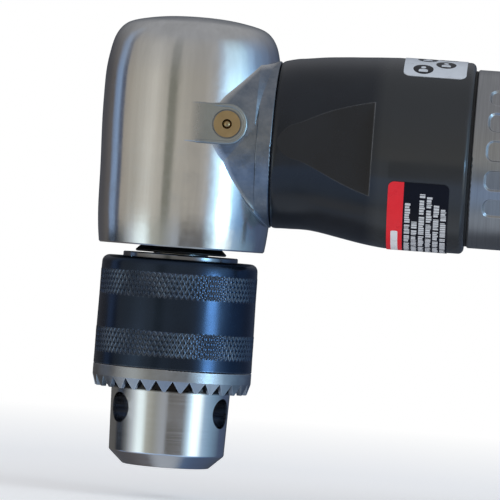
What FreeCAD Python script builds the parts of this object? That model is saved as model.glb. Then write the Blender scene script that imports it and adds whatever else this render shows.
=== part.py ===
"""Right-angle air drill with a keyed three-jaw chuck.

Millimetres. The spindle axis is Z, with the chuck's nose face at z = 0 and the head above it.
The handle runs along +X at z = AXIS_Z, from the head to the air inlet.
"""
import FreeCAD
import Part
import math
import os

V = FreeCAD.Vector
Z_AXIS = V(0, 0, 1)
Y_AXIS = V(0, 1, 0)
X_AXIS = V(1, 0, 0)

# Handle axis and head
AXIS_Z = 72.0
HEAD_BOTTOM = 48.0
HEAD_FOOT_R = 18.2
HEAD_PROFILE = [(18.8, 54.0), (19.05, 64.0), (19.4, 75.0), (19.4, 82.0), (19.2, 86.5), (18.6, 90.3),
                (17.6, 93.7), (15.6, 96.2), (12.4, 97.4), (7.0, 98.3), (0.0, 98.7)]
NECK_Z = 74.8
NECK_R = (18.6, 17.7)
NECK_TAPER = 8.5
NECK_END = 15.4
NECK_TAIL = (15.0, 18.9)
FLANGE_END = 19.2
FLANGE_R = 18.3
FLANGE_GROOVE = (0.35, 0.5)
SPIGOT_END = 25.0
SPIGOT_R = 16.0
ORING_GROOVE = (21.0, 22.6, 1.3)
ORING_R = 0.62
CHAMBER_R = 13.6
CHAMBER_TOP = 81.0
NECK_BORE_R = 9.4

# Grease fitting boss on the front of the neck
BOSS_X0 = 0.6
BOSS_X1 = 9.5
BOSS_Z = 75.2
BOSS_R = 4.3
BOSS_Y = (-19.35, -12.0)
BOSS_EDGE = 0.3
FITTING_R = 2.88
FITTING_PROUD = 0.1
FITTING_GROOVE = (0.3, 0.5)
FITTING_DEPTH = 4.5
FITTING_BALL_R = 0.95
FITTING_SEAT_R = 1.05
GREASE_PASSAGE_R = 0.7

# Chuck
NOSE_R = 9.5
NOSE_CHAMFER_Z = 2.9
NOSE_CHAMFER_R = 12.65
NOSE_TOP_Z = 16.7
NOSE_TOP_R = 13.05
BARREL_R = 15.6
BARREL_BOTTOM = 17.2
FLANGE_Z = 45.4
CHUCK_TOP = 46.4
CHUCK_FLANGE_R = 12.6
SLEEVE_BORE_R = 15.7
GEAR_RING_TOP = 21.5
SLEEVE_R_LOW = 17.4
SLEEVE_R_TOP = 17.1
SLEEVE_EDGE = 1.6
SLEEVE_LIP_R = 13.1
SLEEVE_LIP = 1.4
RING_TEETH = 30
RING_TOOTH_H = 2.4
RING_BOTTOM_R = 16.7
RING_GAP_SHARE = 0.86
NUT_GROOVE = (19.3, 24.7)
NUT_GROOVE_R = 11.4
NUT_Z = (19.5, 24.5)
NUT_SPLIT = 0.4
CHUCK_BORE_R = 5.1
CHUCK_BORE_DEPTH = 27.0
CHUCK_WEB_Z = (30.0, 32.0)
SCREW_HEAD_R = 4.3
SCREW_POCKET_R = 4.6
SCREW_R = 2.4
SCREW_HEX = (4.0, 2.0)
SCREW_END = 42.0
SPINDLE_THREAD_R = 4.7
KEY_HOLE_R = 3.3
KEY_HOLE_Z = 12.4
KEY_HOLE_FLOOR = 8.5
KEY_HOLE_ANGLE = -23.1
JAW_R = 2.4
JAW_HOLE_R = 2.5
JAW_SLOPE = 0.24
JAW_AXIS_R0 = 4.3
JAW_TIP_Z = 11.7
JAW_END_Z = 37.7
JAW_FACE_R = 5.15
JAW_CLEARANCE = 0.1

# Spindle and its gear
COLLAR_Z = (46.6, 51.0)
COLLAR_R = (10.4, 8.95)
BEARING_Z = 51.0
SPINDLE_R = 6.0
SPINDLE_GEAR_R = 5.0
SPINDLE_TOP_R = 4.0
SPINDLE_STEP_Z = 71.0
SPINDLE_TOP = 91.8
BUSH_Z = (86.0, 92.0)
BUSH_R = 6.0
KEY_SIZE = 2.0
KEY_Z = (59.6, 63.6)
RETAINER_Z = (49.5, 51.0)
RETAINER_R = (12.4, 14.8)

# Ball bearings: inner radius, outer radius, width, ball radius, number of balls
SPINDLE_BEARING = (6.0, 14.0, 8.0, 2.38, 9)
PINION_BEARING = (5.0, 11.0, 6.0, 1.59, 11)
ROTOR_BEARING = (3.5, 11.0, 7.0, 1.98, 7)
RACE_SHOULDER = 0.5
RACE_EDGE = 0.4

# Gears: stub involute teeth
PRESSURE_ANGLE = 25.0
ADDENDUM = 0.8
DEDENDUM = 1.05
GEAR_PLAY = 0.12
BEVEL_MODULE = 1.25
BEVEL_GEAR_TEETH = 20
BEVEL_PINION_TEETH = 12
BEVEL_FACE = 4.6
BEVEL_HUB_R = 8.2
PINION_HUB_R = 6.2
PINION_HUB_X = 13.2
SPUR_MODULE = 0.55
SUN_TEETH = 10
PLANET_TEETH = 20
RING_GEAR_TEETH = 50
CARRIER_R = 8.25
PLANETS = 3

# Along the handle
PINION_BEARING_X = 15.0
PINION_SHAFT_R = 5.0
PINION_TAIL_R = 3.5
PINION_END = 30.0
CARRIER_HUB = (22.0, 27.0, 7.0)
CARRIER_DISC = (27.0, 30.0, 12.6)
CARRIER_REAR = (39.0, 41.0)
CARRIER_HOLE_R = 4.0
POST_RING_R = 10.2
POST_R = 2.2
PLANET_X = (30.5, 38.5)
PLANET_PIN_R = 1.75
RING_GEAR_X = (29.0, 40.5)
SUN_X = (30.5, 39.2)
FRONT_PLATE = (43.0, 52.0)
REAR_PLATE = (90.0, 99.0)
PLATE_WALL = 2.0
MOTOR_R = 16.5
MOTOR_BORE_R = 13.5
MOTOR_OFFSET = 1.2
ROTOR_R = 12.2
VANES = 5
VANE_T = 1.5
VANE_INNER_R = 5.2
VANE_GAP = 0.05
ROTOR_NECK_R = 2.0
ROTOR_SHOULDER_R = 4.6
ROTOR_END_GAP = 0.1
LOCATING_PIN_R = 0.8
CYLINDER_PORTS = (6, 12.0, 1.5)

CASE_X = (19.35, 61.7)
CASE_R = 20.9
# Outside of the case: x, radius, and how far the section's centre lies above the handle axis.
CASE_PROFILE = ((19.35, 17.85, 0.0), (19.8, 18.25, 0.05), (20.8, 18.45, 0.2), (22.5, 18.62, 0.42),
                (25.0, 18.75, 0.6), (28.0, 19.0, 0.76), (31.0, 19.37, 0.68), (34.0, 19.77, 0.5),
                (37.0, 20.15, 0.3), (40.0, 20.5, 0.14), (42.5, 20.74, 0.04), (44.8, 20.9, 0.0))
CASE_FLAT = 17.95
CASE_FLAT_TILT = 1.3
CASE_FLAT_END = 40.9
CASE_BORE_R = 16.0
CASE_THREAD_R = 18.1
GASKET_X = (61.75, 62.15)
GASKET_R = 19.2
HOUSING_SPIGOT_X = 47.0
HOUSING_X = (62.2, 160.0)
HOUSING_R = 19.5
HOUSING_BORE_END = 99.0
HOUSING_TAIL = (166.0, 16.5)
POCKETS_A_SIDE = 5
POCKET_STEP = 19.0
POCKET_MIDDLE = 85.6
POCKET_X = 65.75
POCKET_LENGTH = 24.0
POCKET_WIDTH = 3.9
POCKET_DEPTH = 0.5
POCKET_CORNER = 1.3

# Throttle
VALVE_X = 128.0
BUSH_BOTTOM = 53.0
BUSH_TOP = 64.0
VALVE_BUSH_R = 5.0
VALVE_GUIDE_R = 1.55
VALVE_STEM_R = 1.5
VALVE_SEAT_R = 2.6
VALVE_BALL_R = 3.4
VALVE_CHAMBER_R = 4.6
VALVE_CHAMBER_TOP = 79.5
SPRING_R = 2.6
SPRING_WIRE = 0.4
SPRING_TURNS = 6
SPRING_GAP = 0.1
PORT_R = 1.8
INLET_PORT_DROP = 12.0
REVERSE_PORT_DROP = 5.0
MOTOR_PORT_RISE = 13.0
MOTOR_PORT_R = 2.0
LEVER_PIVOT = (154.0, 50.0)
LEVER_SLOPE = 8.2
LEVER_LENGTH = 64.0
LEVER_THICK = 3.6
LEVER_WIDTH = 13.0
TANG_WIDTH = 8.0
TANG_LENGTH = 9.0
LEVER_PIN_R = 1.5
LEVER_EYE_R = 3.2
LUG_X = (147.5, 160.0)
LUG_WALL = 1.5
LUG_WIDTH = 15.0
LUG_BOTTOM = 46.0
LEVER_SLOT_TOP = 53.5
STEM_TIP_GAP = 0.1

# Reverse valve
REVERSE_X = 112.0
REVERSE_R = 4.5
REVERSE_Z = (62.0, 90.0)
KNOB_R = 8.3
KNOB_Z = (90.1, 95.4)
KNOB_FLAT_R = 9.0
KNOB_DISC = 3.0
KNOB_GRIP = 3.0

# Air inlet and exhaust
INLET_PASSAGE_R = 4.0
INLET_THREAD_R = 5.9
INLET_END = 188.0
INLET_HEX_X = 176.0
INLET_HEX_AF = 22.0
INLET_SHANK_R = 8.5
DEFLECTOR_X = (160.0, 176.0)
DEFLECTOR_BORE_R = 16.5
DEFLECTOR_WALL = 2.5
FELT_X = (166.0, 173.5)
EXHAUST_HOLES = 12
EXHAUST_R = 1.5
EXHAUST_RING_R = 12.8
EXHAUST_START = 95.0
SCREEN_T = 0.6
SCREEN_HOLE_R = 0.35
SCREEN_PITCH = 1.3

# Stickers on the gear case
LABEL_T = 0.15
CAUTION_X = (45.0, 58.1)
CAUTION_ANGLES = (18.0, 100.0)
SAFETY_X = (46.2, 59.8)
SAFETY_ANGLES = (-128.0, -52.5)
LABEL_CORNER = 1.2

RUN_GAP = 0.05


def polar(radius, degrees):
    """X and Y of a point at a radius and an angle."""
    angle = math.radians(degrees)
    return radius * math.cos(angle), radius * math.sin(angle)


def rounded_edges(points):
    """Edges of a closed outline of (a, b) or (a, b, corner radius), as (x, z) points."""
    count = len(points)
    starts = []
    arcs = []
    for i, point in enumerate(points):
        here = V(point[0], 0, point[1])
        if len(point) == 2:
            starts.append((here, here))
            arcs.append(None)
            continue
        before = V(points[i - 1][0], 0, points[i - 1][1]) - here
        after = V(points[(i + 1) % count][0], 0, points[(i + 1) % count][1]) - here
        before.normalize()
        after.normalize()
        half = before.getAngle(after) / 2
        reach = point[2] / math.tan(half)
        middle = (before + after).normalize() * (point[2] / math.sin(half) - point[2])
        a, b = here + before * reach, here + after * reach
        starts.append((a, b))
        arcs.append(Part.Arc(a, here + middle, b).toShape())
    edges = []
    for i in range(count):
        if arcs[i]:
            edges.append(arcs[i])
        a, b = starts[i][1], starts[(i + 1) % count][0]
        if a.distanceToPoint(b) > 1e-6:
            edges.append(Part.LineSegment(a, b).toShape())
    return edges


def turned(points):
    """A solid turned about Z from an outline of (radius, height) points."""
    wire = Part.Wire(rounded_edges(points))
    return Part.Face(wire).revolve(V(0, 0, 0), Z_AXIS, 360)


def tube(r_in, r_out, low, high):
    """A ring about Z."""
    return turned([(r_in, low), (r_out, low), (r_out, high), (r_in, high)])


def rod(radius, low, high):
    """A cylinder about Z."""
    return Part.makeCylinder(radius, high - low, V(0, 0, low), Z_AXIS)


def lay(shape):
    """Turn a shape made about Z so that its axis is the handle's: height becomes X."""
    laid = shape.copy()
    laid.rotate(V(0, 0, 0), Y_AXIS, 90)
    laid.translate(V(0, 0, AXIS_Z))
    return laid


def spun(shape, degrees, axis=Z_AXIS):
    """A copy of a shape turned about an axis through the origin."""
    copy = shape.copy()
    copy.rotate(V(0, 0, 0), axis, degrees)
    return copy


def ring_of(shape, count, first=0.0):
    """Copies of a shape spaced evenly about Z."""
    return [spun(shape, first + 360.0 * i / count) for i in range(count)]


def box(low, high):
    """A box from its lowest to its highest corner."""
    size = V(*high) - V(*low)
    return Part.makeBox(size.x, size.y, size.z, V(*low))


def cross_rod(radius, x, z, y_low, y_high):
    """A cylinder along Y."""
    return Part.makeCylinder(radius, y_high - y_low, V(x, y_low, z), Y_AXIS)


def involute_half_angle(teeth, radius, base, pitch):
    """Half of a tooth's angle at a radius, in radians, less its share of the play."""
    def inv(r):
        return math.tan(math.acos(min(1.0, base / r))) - math.acos(min(1.0, base / r))
    return math.pi / (2 * teeth) + inv(pitch) - inv(radius)


def spur_outline(teeth, module, play, internal=False):
    """The closed outline of a spur gear's teeth about Z, first tooth (or gap) centred on +X."""
    pitch = teeth * module / 2
    base = pitch * math.cos(math.radians(PRESSURE_ANGLE))
    up, down = (DEDENDUM, ADDENDUM) if internal else (ADDENDUM, DEDENDUM)
    tip, root = pitch + up * module, pitch - down * module
    shift = (play if internal else -play) / (2 * pitch)

    def at(radius, angle):
        return V(radius * math.cos(angle), radius * math.sin(angle), 0)

    def half(radius):
        return involute_half_angle(teeth, max(radius, base), base, pitch) + shift

    low = max(root, base)
    mid = (low + tip) / 2
    edges = []
    step = 2 * math.pi / teeth
    for i in range(teeth):
        c = i * step
        if low > root:
            edges.append(Part.makeLine(at(root, c - half(low)), at(low, c - half(low))))
        edges.append(Part.Arc(at(low, c - half(low)), at(mid, c - half(mid)),
                              at(tip, c - half(tip))).toShape())
        edges.append(Part.Arc(at(tip, c - half(tip)), at(tip, c), at(tip, c + half(tip))).toShape())
        edges.append(Part.Arc(at(tip, c + half(tip)), at(mid, c + half(mid)),
                              at(low, c + half(low))).toShape())
        if low > root:
            edges.append(Part.makeLine(at(low, c + half(low)), at(root, c + half(low))))
        edges.append(Part.Arc(at(root, c + half(low)), at(root, c + step / 2),
                              at(root, c + step - half(low))).toShape())
    return Part.Wire(edges)


def spur_gear(teeth, module, low, high, play=GEAR_PLAY, internal=False):
    """The toothed solid between two heights; for an internal gear it is the space inside."""
    face = Part.Face(spur_outline(teeth, module, play, internal))
    face.translate(V(0, 0, low))
    return face.extrude(V(0, 0, high - low))


def bevel_teeth(teeth, mate, module, phase):
    """Bevel gear teeth with the apex at the origin and the axis along +Z."""
    delta = math.atan2(teeth, mate)
    pitch = teeth * module / 2
    cone = pitch / math.sin(delta)
    virtual = pitch / math.cos(delta)
    base = virtual * math.cos(math.radians(PRESSURE_ANGLE))
    tip, root = virtual + ADDENDUM * module, virtual - DEDENDUM * module
    count = teeth / math.cos(delta)
    low = max(base, root)
    flank = [(low + (tip - low) * k / 4) for k in range(5)]
    plane = cone * math.cos(delta)

    def point(rho, angle, scale):
        slope = math.tan(delta + (rho - virtual) / cone)
        radius = plane * scale * slope
        return V(radius * math.cos(angle), radius * math.sin(angle), plane * scale)

    def half(rho):
        play = GEAR_PLAY / (2 * virtual)
        return (involute_half_angle(count, rho, base, virtual) - play) / math.cos(delta)

    def outline(scale):
        points = []
        for i in range(teeth):
            centre = math.radians(phase) + 2 * math.pi * i / teeth
            points.append(point(root, centre - half(low), scale))
            points += [point(rho, centre - half(rho), scale) for rho in flank[root == low:]]
            points += [point(rho, centre + half(rho), scale) for rho in reversed(flank)]
            if root < low:
                points.append(point(root, centre + half(low), scale))
        return Part.makePolygon(points + points[:1])

    small, large = 0.45, 1.35
    return Part.makeLoft([outline(small), outline(large)], True, True)


def bevel_blank(teeth, mate, module, hub_r, back):
    """The turned body that a bevel gear's teeth are cut in, apex at the origin, axis +Z."""
    delta = math.atan2(teeth, mate)
    cone = teeth * module / 2 / math.sin(delta)
    add, ded = ADDENDUM * module, DEDENDUM * module

    def at(along, off):
        return (along * math.sin(delta) + off * math.cos(delta),
                along * math.cos(delta) - off * math.sin(delta))

    inner = cone - BEVEL_FACE
    outer_low = at(cone, -ded * 1.6)
    inner_low = at(inner, -ded)
    return turned([(0, inner_low[1]), inner_low, at(inner, add * inner / cone), at(cone, add),
                   outer_low, (hub_r, outer_low[1]), (hub_r, back), (0, back)])


def bearing(r_in, r_out, width, ball_r, balls):
    """Outer ring, inner ring and balls of a ball bearing standing on z = 0."""
    pitch = (r_in + r_out) / 2
    middle = width / 2
    groove = Part.makeTorus(pitch, ball_r + RUN_GAP / 2, V(0, 0, middle), Z_AXIS)
    shoulder = ball_r * RACE_SHOULDER
    outer = turned([(pitch + shoulder, 0), (r_out, 0, RACE_EDGE), (r_out, width, RACE_EDGE),
                    (pitch + shoulder, width)]).cut(groove)
    inner = turned([(r_in, 0, RACE_EDGE), (pitch - shoulder, 0), (pitch - shoulder, width),
                    (r_in, width, RACE_EDGE)]).cut(groove)
    ball = Part.makeSphere(ball_r, V(pitch, 0, middle))
    return outer, inner, ring_of(ball, balls)


def moved(shape, offset):
    """A copy of a shape moved by an offset."""
    copy = shape.copy()
    copy.translate(offset)
    return copy


def group(solids):
    """Separate solids kept in one node."""
    return Part.makeCompound(solids)


def jaw_line(z):
    """Distance of a jaw's axis from the spindle axis at a height."""
    return JAW_AXIS_R0 + JAW_SLOPE * z


def jaw_rod(radius, low, high):
    """A round bar along the inclined jaw axis, in the XZ plane."""
    start = V(jaw_line(low), 0, low)
    run = V(jaw_line(high), 0, high) - start
    return Part.makeCylinder(radius, run.Length, start, run)


def chuck_parts():
    """Chuck body, sleeve, key gear ring, nut, jaws and screw."""
    parts = {}
    body = turned([
        (0, 0), (NOSE_R, 0, 0.3), (NOSE_CHAMFER_R, NOSE_CHAMFER_Z, 0.5), (NOSE_TOP_R, NOSE_TOP_Z),
        (NOSE_TOP_R, BARREL_BOTTOM), (BARREL_R, BARREL_BOTTOM), (BARREL_R, NUT_GROOVE[0]),
        (NUT_GROOVE_R, NUT_GROOVE[0]), (NUT_GROOVE_R, NUT_GROOVE[1]), (BARREL_R, NUT_GROOVE[1]),
        (BARREL_R, FLANGE_Z - SLEEVE_LIP - RUN_GAP), (CHUCK_FLANGE_R, FLANGE_Z - SLEEVE_LIP - RUN_GAP),
        (CHUCK_FLANGE_R, CHUCK_TOP, 0.3), (0, CHUCK_TOP)])
    cuts = [rod(CHUCK_BORE_R, -1, CHUCK_BORE_DEPTH),
            rod(SCREW_POCKET_R, CHUCK_BORE_DEPTH - 1, CHUCK_WEB_Z[0]),
            rod(SCREW_R + 0.1, CHUCK_WEB_Z[0] - 1, CHUCK_WEB_Z[1] + 1),
            rod(SPINDLE_THREAD_R, CHUCK_WEB_Z[1], CHUCK_TOP + 1)]
    key_hole = Part.makeCylinder(KEY_HOLE_R, 8, V(KEY_HOLE_FLOOR, 0, KEY_HOLE_Z), X_AXIS)
    cuts += ring_of(key_hole, 3, KEY_HOLE_ANGLE)
    cuts += ring_of(jaw_rod(JAW_HOLE_R, -8, 60), 3, KEY_HOLE_ANGLE + 60)
    parts["chuck_body"] = body.cut(cuts)

    top = FLANGE_Z
    parts["chuck_sleeve"] = turned([
        (SLEEVE_BORE_R, GEAR_RING_TOP), (SLEEVE_R_LOW, GEAR_RING_TOP), (SLEEVE_R_TOP, top, SLEEVE_EDGE),
        (SLEEVE_LIP_R, top, 0.4), (SLEEVE_LIP_R, top - SLEEVE_LIP), (SLEEVE_BORE_R, top - SLEEVE_LIP)])
    parts["chuck_gear_ring"] = gear_ring()

    wall = JAW_R / math.cos(math.atan(JAW_SLOPE)) + JAW_CLEARANCE
    nut = turned([(jaw_line(NUT_Z[0]) + wall, NUT_Z[0]), (SLEEVE_BORE_R, NUT_Z[0]),
                  (SLEEVE_BORE_R, NUT_Z[1]), (jaw_line(NUT_Z[1]) + wall, NUT_Z[1])])
    split = box((-20, -NUT_SPLIT / 2, 0), (20, NUT_SPLIT / 2, 30))
    parts["chuck_nut"] = group(nut.cut(split).Solids)

    jaw = jaw_rod(JAW_R, JAW_TIP_Z - 3, JAW_END_Z + 3)
    keep = turned([(0, JAW_TIP_Z), (BARREL_R - 0.1, JAW_TIP_Z), (BARREL_R - 0.1, JAW_END_Z),
                   (0, JAW_END_Z)])
    wedge = Part.Face(Part.makePolygon([V(0, 0, 0), V(20, 20 * math.sqrt(3), 0),
                                        V(20, -20 * math.sqrt(3), 0), V(0, 0, 0)]))
    wedge = wedge.extrude(V(0, 0, 60))
    wedge.translate(V(JAW_FACE_R - 0.6, 0, 0))
    front = box((JAW_FACE_R, -10, 0), (20, 10, 60))
    jaw = jaw.common(keep).common(wedge).common(front)
    for i, placed in enumerate(ring_of(jaw, 3, KEY_HOLE_ANGLE + 60)):
        parts["chuck_jaw_%d" % (i + 1)] = placed

    hex_key = prism(*SCREW_HEX)
    screw = turned([(0, CHUCK_BORE_DEPTH + 0.2), (SCREW_HEAD_R, CHUCK_BORE_DEPTH + 0.2, 0.3),
                    (SCREW_HEAD_R, CHUCK_WEB_Z[0]), (SCREW_R, CHUCK_WEB_Z[0]), (SCREW_R, SCREW_END),
                    (0, SCREW_END)])
    parts["chuck_screw"] = screw.cut(moved(hex_key, V(0, 0, CHUCK_BORE_DEPTH)))
    return parts


def prism(across_flats, height, sides=6):
    """An upright prism on z = 0 with even sides."""
    radius = across_flats / 2 / math.cos(math.pi / sides)
    corners = [V(*polar(radius, 30 + 360 * i / sides), 0) for i in range(sides)]
    return Part.Face(Part.makePolygon(corners + corners[:1])).extrude(V(0, 0, height))


def gear_ring():
    """The key gear: a bevelled ring whose teeth point down, with V-shaped gaps between them."""
    blank = turned([(SLEEVE_BORE_R, NOSE_TOP_Z), (RING_BOTTOM_R, NOSE_TOP_Z),
                    (SLEEVE_R_LOW, NOSE_TOP_Z + RING_TOOTH_H), (SLEEVE_R_LOW, GEAR_RING_TOP, 0.2),
                    (SLEEVE_BORE_R, GEAR_RING_TOP)])
    half = RING_BOTTOM_R * math.pi / RING_TEETH * RING_GAP_SHARE
    low, apex = NOSE_TOP_Z - 0.5, NOSE_TOP_Z + RING_TOOTH_H
    grow = half * (apex - low) / RING_TOOTH_H
    gap = Part.Face(Part.makePolygon([V(14, -grow, low), V(14, grow, low), V(14, 0, apex),
                                      V(14, -grow, low)])).extrude(V(5, 0, 0))
    return blank.cut(ring_of(gap, RING_TEETH))


def spindle_parts():
    """Spindle, collar, bearing, bevel gear, key, bush and retainer."""
    parts = {}
    spindle = turned([
        (0, CHUCK_WEB_Z[1] + 0.1), (SPINDLE_THREAD_R, CHUCK_WEB_Z[1] + 0.1, 0.4),
        (SPINDLE_THREAD_R, CHUCK_TOP), (SPINDLE_R, CHUCK_TOP), (SPINDLE_R, KEY_Z[0] - 0.4),
        (SPINDLE_GEAR_R, KEY_Z[0] - 0.4), (SPINDLE_GEAR_R, SPINDLE_STEP_Z),
        (SPINDLE_TOP_R, SPINDLE_STEP_Z), (SPINDLE_TOP_R, SPINDLE_TOP, 0.5), (0, SPINDLE_TOP)])
    key = box((SPINDLE_GEAR_R - KEY_SIZE / 2, -KEY_SIZE / 2, KEY_Z[0]),
              (SPINDLE_GEAR_R + KEY_SIZE / 2, KEY_SIZE / 2, KEY_Z[1]))
    parts["spindle"] = spindle.cut([rod(SCREW_R, 30, SCREW_END + 1), key])
    parts["gear_key"] = key
    parts["spindle_collar"] = turned([
        (SPINDLE_R, COLLAR_Z[0]), (COLLAR_R[0], COLLAR_Z[0], 0.3), (COLLAR_R[1], HEAD_BOTTOM),
        (COLLAR_R[1] - 1.2, HEAD_BOTTOM + 1.5), (COLLAR_R[1] - 1.2, COLLAR_Z[1]),
        (SPINDLE_R, COLLAR_Z[1])])
    outer, inner, balls = bearing(*SPINDLE_BEARING)
    lift = V(0, 0, BEARING_Z)
    parts["spindle_bearing_outer"] = moved(outer, lift)
    parts["spindle_bearing_inner"] = moved(inner, lift)
    parts["spindle_bearing_balls"] = group([moved(ball, lift) for ball in balls])
    parts["bevel_gear"] = bevel_gear(key)
    parts["upper_bush"] = tube(SPINDLE_TOP_R + RUN_GAP, BUSH_R, *BUSH_Z)
    ring = tube(*RETAINER_R, *RETAINER_Z)
    gap = box((-2.5, -20, RETAINER_Z[0] - 1), (2.5, 0, RETAINER_Z[1] + 1))
    parts["bearing_retainer"] = ring.cut(gap)
    return parts


def bevel_gear(key):
    """The large bevel gear on the spindle, below the apex with its teeth up."""
    back = AXIS_Z - KEY_Z[0] + 0.4
    teeth = bevel_teeth(BEVEL_GEAR_TEETH, BEVEL_PINION_TEETH, BEVEL_MODULE, 0)
    blank = bevel_blank(BEVEL_GEAR_TEETH, BEVEL_PINION_TEETH, BEVEL_MODULE, BEVEL_HUB_R, back)
    pitch = BEVEL_GEAR_TEETH * BEVEL_MODULE / 2
    web_top = BEVEL_PINION_TEETH * BEVEL_MODULE / 2 + 2.0
    web = turned([(0, web_top), (pitch - 1.0, web_top), (BEVEL_HUB_R, back - 0.6),
                  (BEVEL_HUB_R, back), (0, back)])
    gear = blank.common(teeth).fuse(web.common(blank)).removeSplitter()
    floor = tooth_floor(blank, BEVEL_GEAR_TEETH, BEVEL_PINION_TEETH, BEVEL_MODULE)
    gear = gear.fuse(floor).removeSplitter()
    gear.rotate(V(0, 0, 0), X_AXIS, 180)
    gear.translate(V(0, 0, AXIS_Z))
    return gear.cut([rod(SPINDLE_GEAR_R, 50, 80), key])


def tooth_floor(blank, teeth, mate, module):
    """The part of a bevel blank inside the cone of its tooth roots."""
    delta = math.atan2(teeth, mate)
    cone = teeth * module / 2 / math.sin(delta)
    length = 2 * cone
    slope = math.tan(delta - DEDENDUM * module / cone)
    return blank.common(Part.makeCone(0, length * slope, length, V(0, 0, 0), Z_AXIS))


def pinion():
    """The bevel pinion and its shaft, along the handle."""
    phase = 180.0 / BEVEL_PINION_TEETH
    sizes = (BEVEL_PINION_TEETH, BEVEL_GEAR_TEETH, BEVEL_MODULE)
    teeth = bevel_teeth(*sizes, phase)
    blank = bevel_blank(*sizes, PINION_HUB_R, PINION_BEARING_X)
    shoulder = rod(PINION_HUB_R, PINION_HUB_X, PINION_BEARING_X)
    gear = blank.common(teeth).fuse([tooth_floor(blank, *sizes), shoulder]).removeSplitter()
    shaft = rod(PINION_SHAFT_R, PINION_HUB_X - 0.2, CARRIER_HUB[0]).fuse(
        rod(PINION_TAIL_R, PINION_BEARING_X + 5, PINION_END))
    return lay(gear.fuse(shaft).removeSplitter())


def head_barrel():
    """The upright barrel, turned from a smooth curve that swells towards the top."""
    foot = V(HEAD_FOOT_R, 0, HEAD_BOTTOM + 0.3)
    curve = Part.BSplineCurve()
    curve.interpolate([foot] + [V(r, 0, z) for r, z in HEAD_PROFILE])
    corner = [V(0, 0, HEAD_BOTTOM), V(HEAD_FOOT_R - 0.3, 0, HEAD_BOTTOM), foot]
    wire = Part.Wire([Part.makeLine(corner[0], corner[1]), Part.makeLine(corner[1], corner[2]),
                      curve.toShape(), Part.makeLine(V(0, 0, HEAD_PROFILE[-1][1]), corner[0])])
    return Part.Face(wire).revolve(V(0, 0, 0), Z_AXIS, 360)


def head_neck():
    """The cast neck, a little above the handle axis, and the flange and spigot on that axis."""
    depth, width = FLANGE_GROOVE
    tail_r, tail_x = NECK_TAIL
    neck = lay(turned([(0, 0), (NECK_R[0], 0), (NECK_R[0], NECK_TAPER, 12.0), (NECK_R[1], NECK_END),
                       (tail_r, tail_x), (0, tail_x)]))
    neck.translate(V(0, 0, NECK_Z - AXIS_Z))
    groove0, groove1, groove_depth = ORING_GROOVE
    flange = lay(turned([
        (0, 0), (FLANGE_R - depth - 1, 0), (FLANGE_R - depth, NECK_END),
        (FLANGE_R - depth, NECK_END + width), (FLANGE_R, NECK_END + width, 0.3),
        (FLANGE_R, FLANGE_END, 0.3), (SPIGOT_R, FLANGE_END),
        (SPIGOT_R, groove0), (SPIGOT_R - groove_depth, groove0), (SPIGOT_R - groove_depth, groove1),
        (SPIGOT_R, groove1), (SPIGOT_R, SPIGOT_END, 0.4), (0, SPIGOT_END)]))
    return [neck, flange]


def head_boss():
    """The flat boss round the grease fitting, with a rounded right end."""
    front, back = BOSS_Y
    low, high = BOSS_Z - BOSS_R, BOSS_Z + BOSS_R
    boss = cross_rod(BOSS_R, BOSS_X1, BOSS_Z, front, back).fuse(
        box((BOSS_X0, front, low), (BOSS_X1, back, high))).removeSplitter()
    rim = [e for e in boss.Edges if e.BoundBox.YMax < front + 0.01 and e.BoundBox.XMax > BOSS_X0 + 0.01]
    return boss.makeFillet(BOSS_EDGE, rim)


def angle_head():
    """The cast head: upright barrel, neck, flange, spigot and grease boss."""
    body = head_barrel().fuse(head_neck() + [head_boss()]).removeSplitter()
    front = BOSS_Y[0] - 1
    cuts = [
        rod(SPINDLE_BEARING[1], HEAD_BOTTOM - 1, BEARING_Z + SPINDLE_BEARING[2]),
        rod(RETAINER_R[1], *RETAINER_Z),
        rod(CHAMBER_R, BEARING_Z + 7.0, CHAMBER_TOP),
        Part.makeCone(CHAMBER_R, BUSH_R, BUSH_Z[0] - CHAMBER_TOP, V(0, 0, CHAMBER_TOP), Z_AXIS),
        rod(BUSH_R, BUSH_Z[0] - 1, BUSH_Z[1]),
        lay(rod(NECK_BORE_R, 0, PINION_BEARING_X + 1)),
        lay(rod(PINION_BEARING[1], PINION_BEARING_X, SPIGOT_END + 1)),
        cross_rod(FITTING_R, BOSS_X1, BOSS_Z, front, BOSS_Y[0] + FITTING_DEPTH),
        cross_rod(FITTING_R + FITTING_GROOVE[0], BOSS_X1, BOSS_Z, front, BOSS_Y[0] + FITTING_GROOVE[1]),
        cross_rod(FITTING_SEAT_R, BOSS_X1, BOSS_Z, front, BOSS_Y[1] + 4),
    ]
    return body.cut(cuts)


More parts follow.
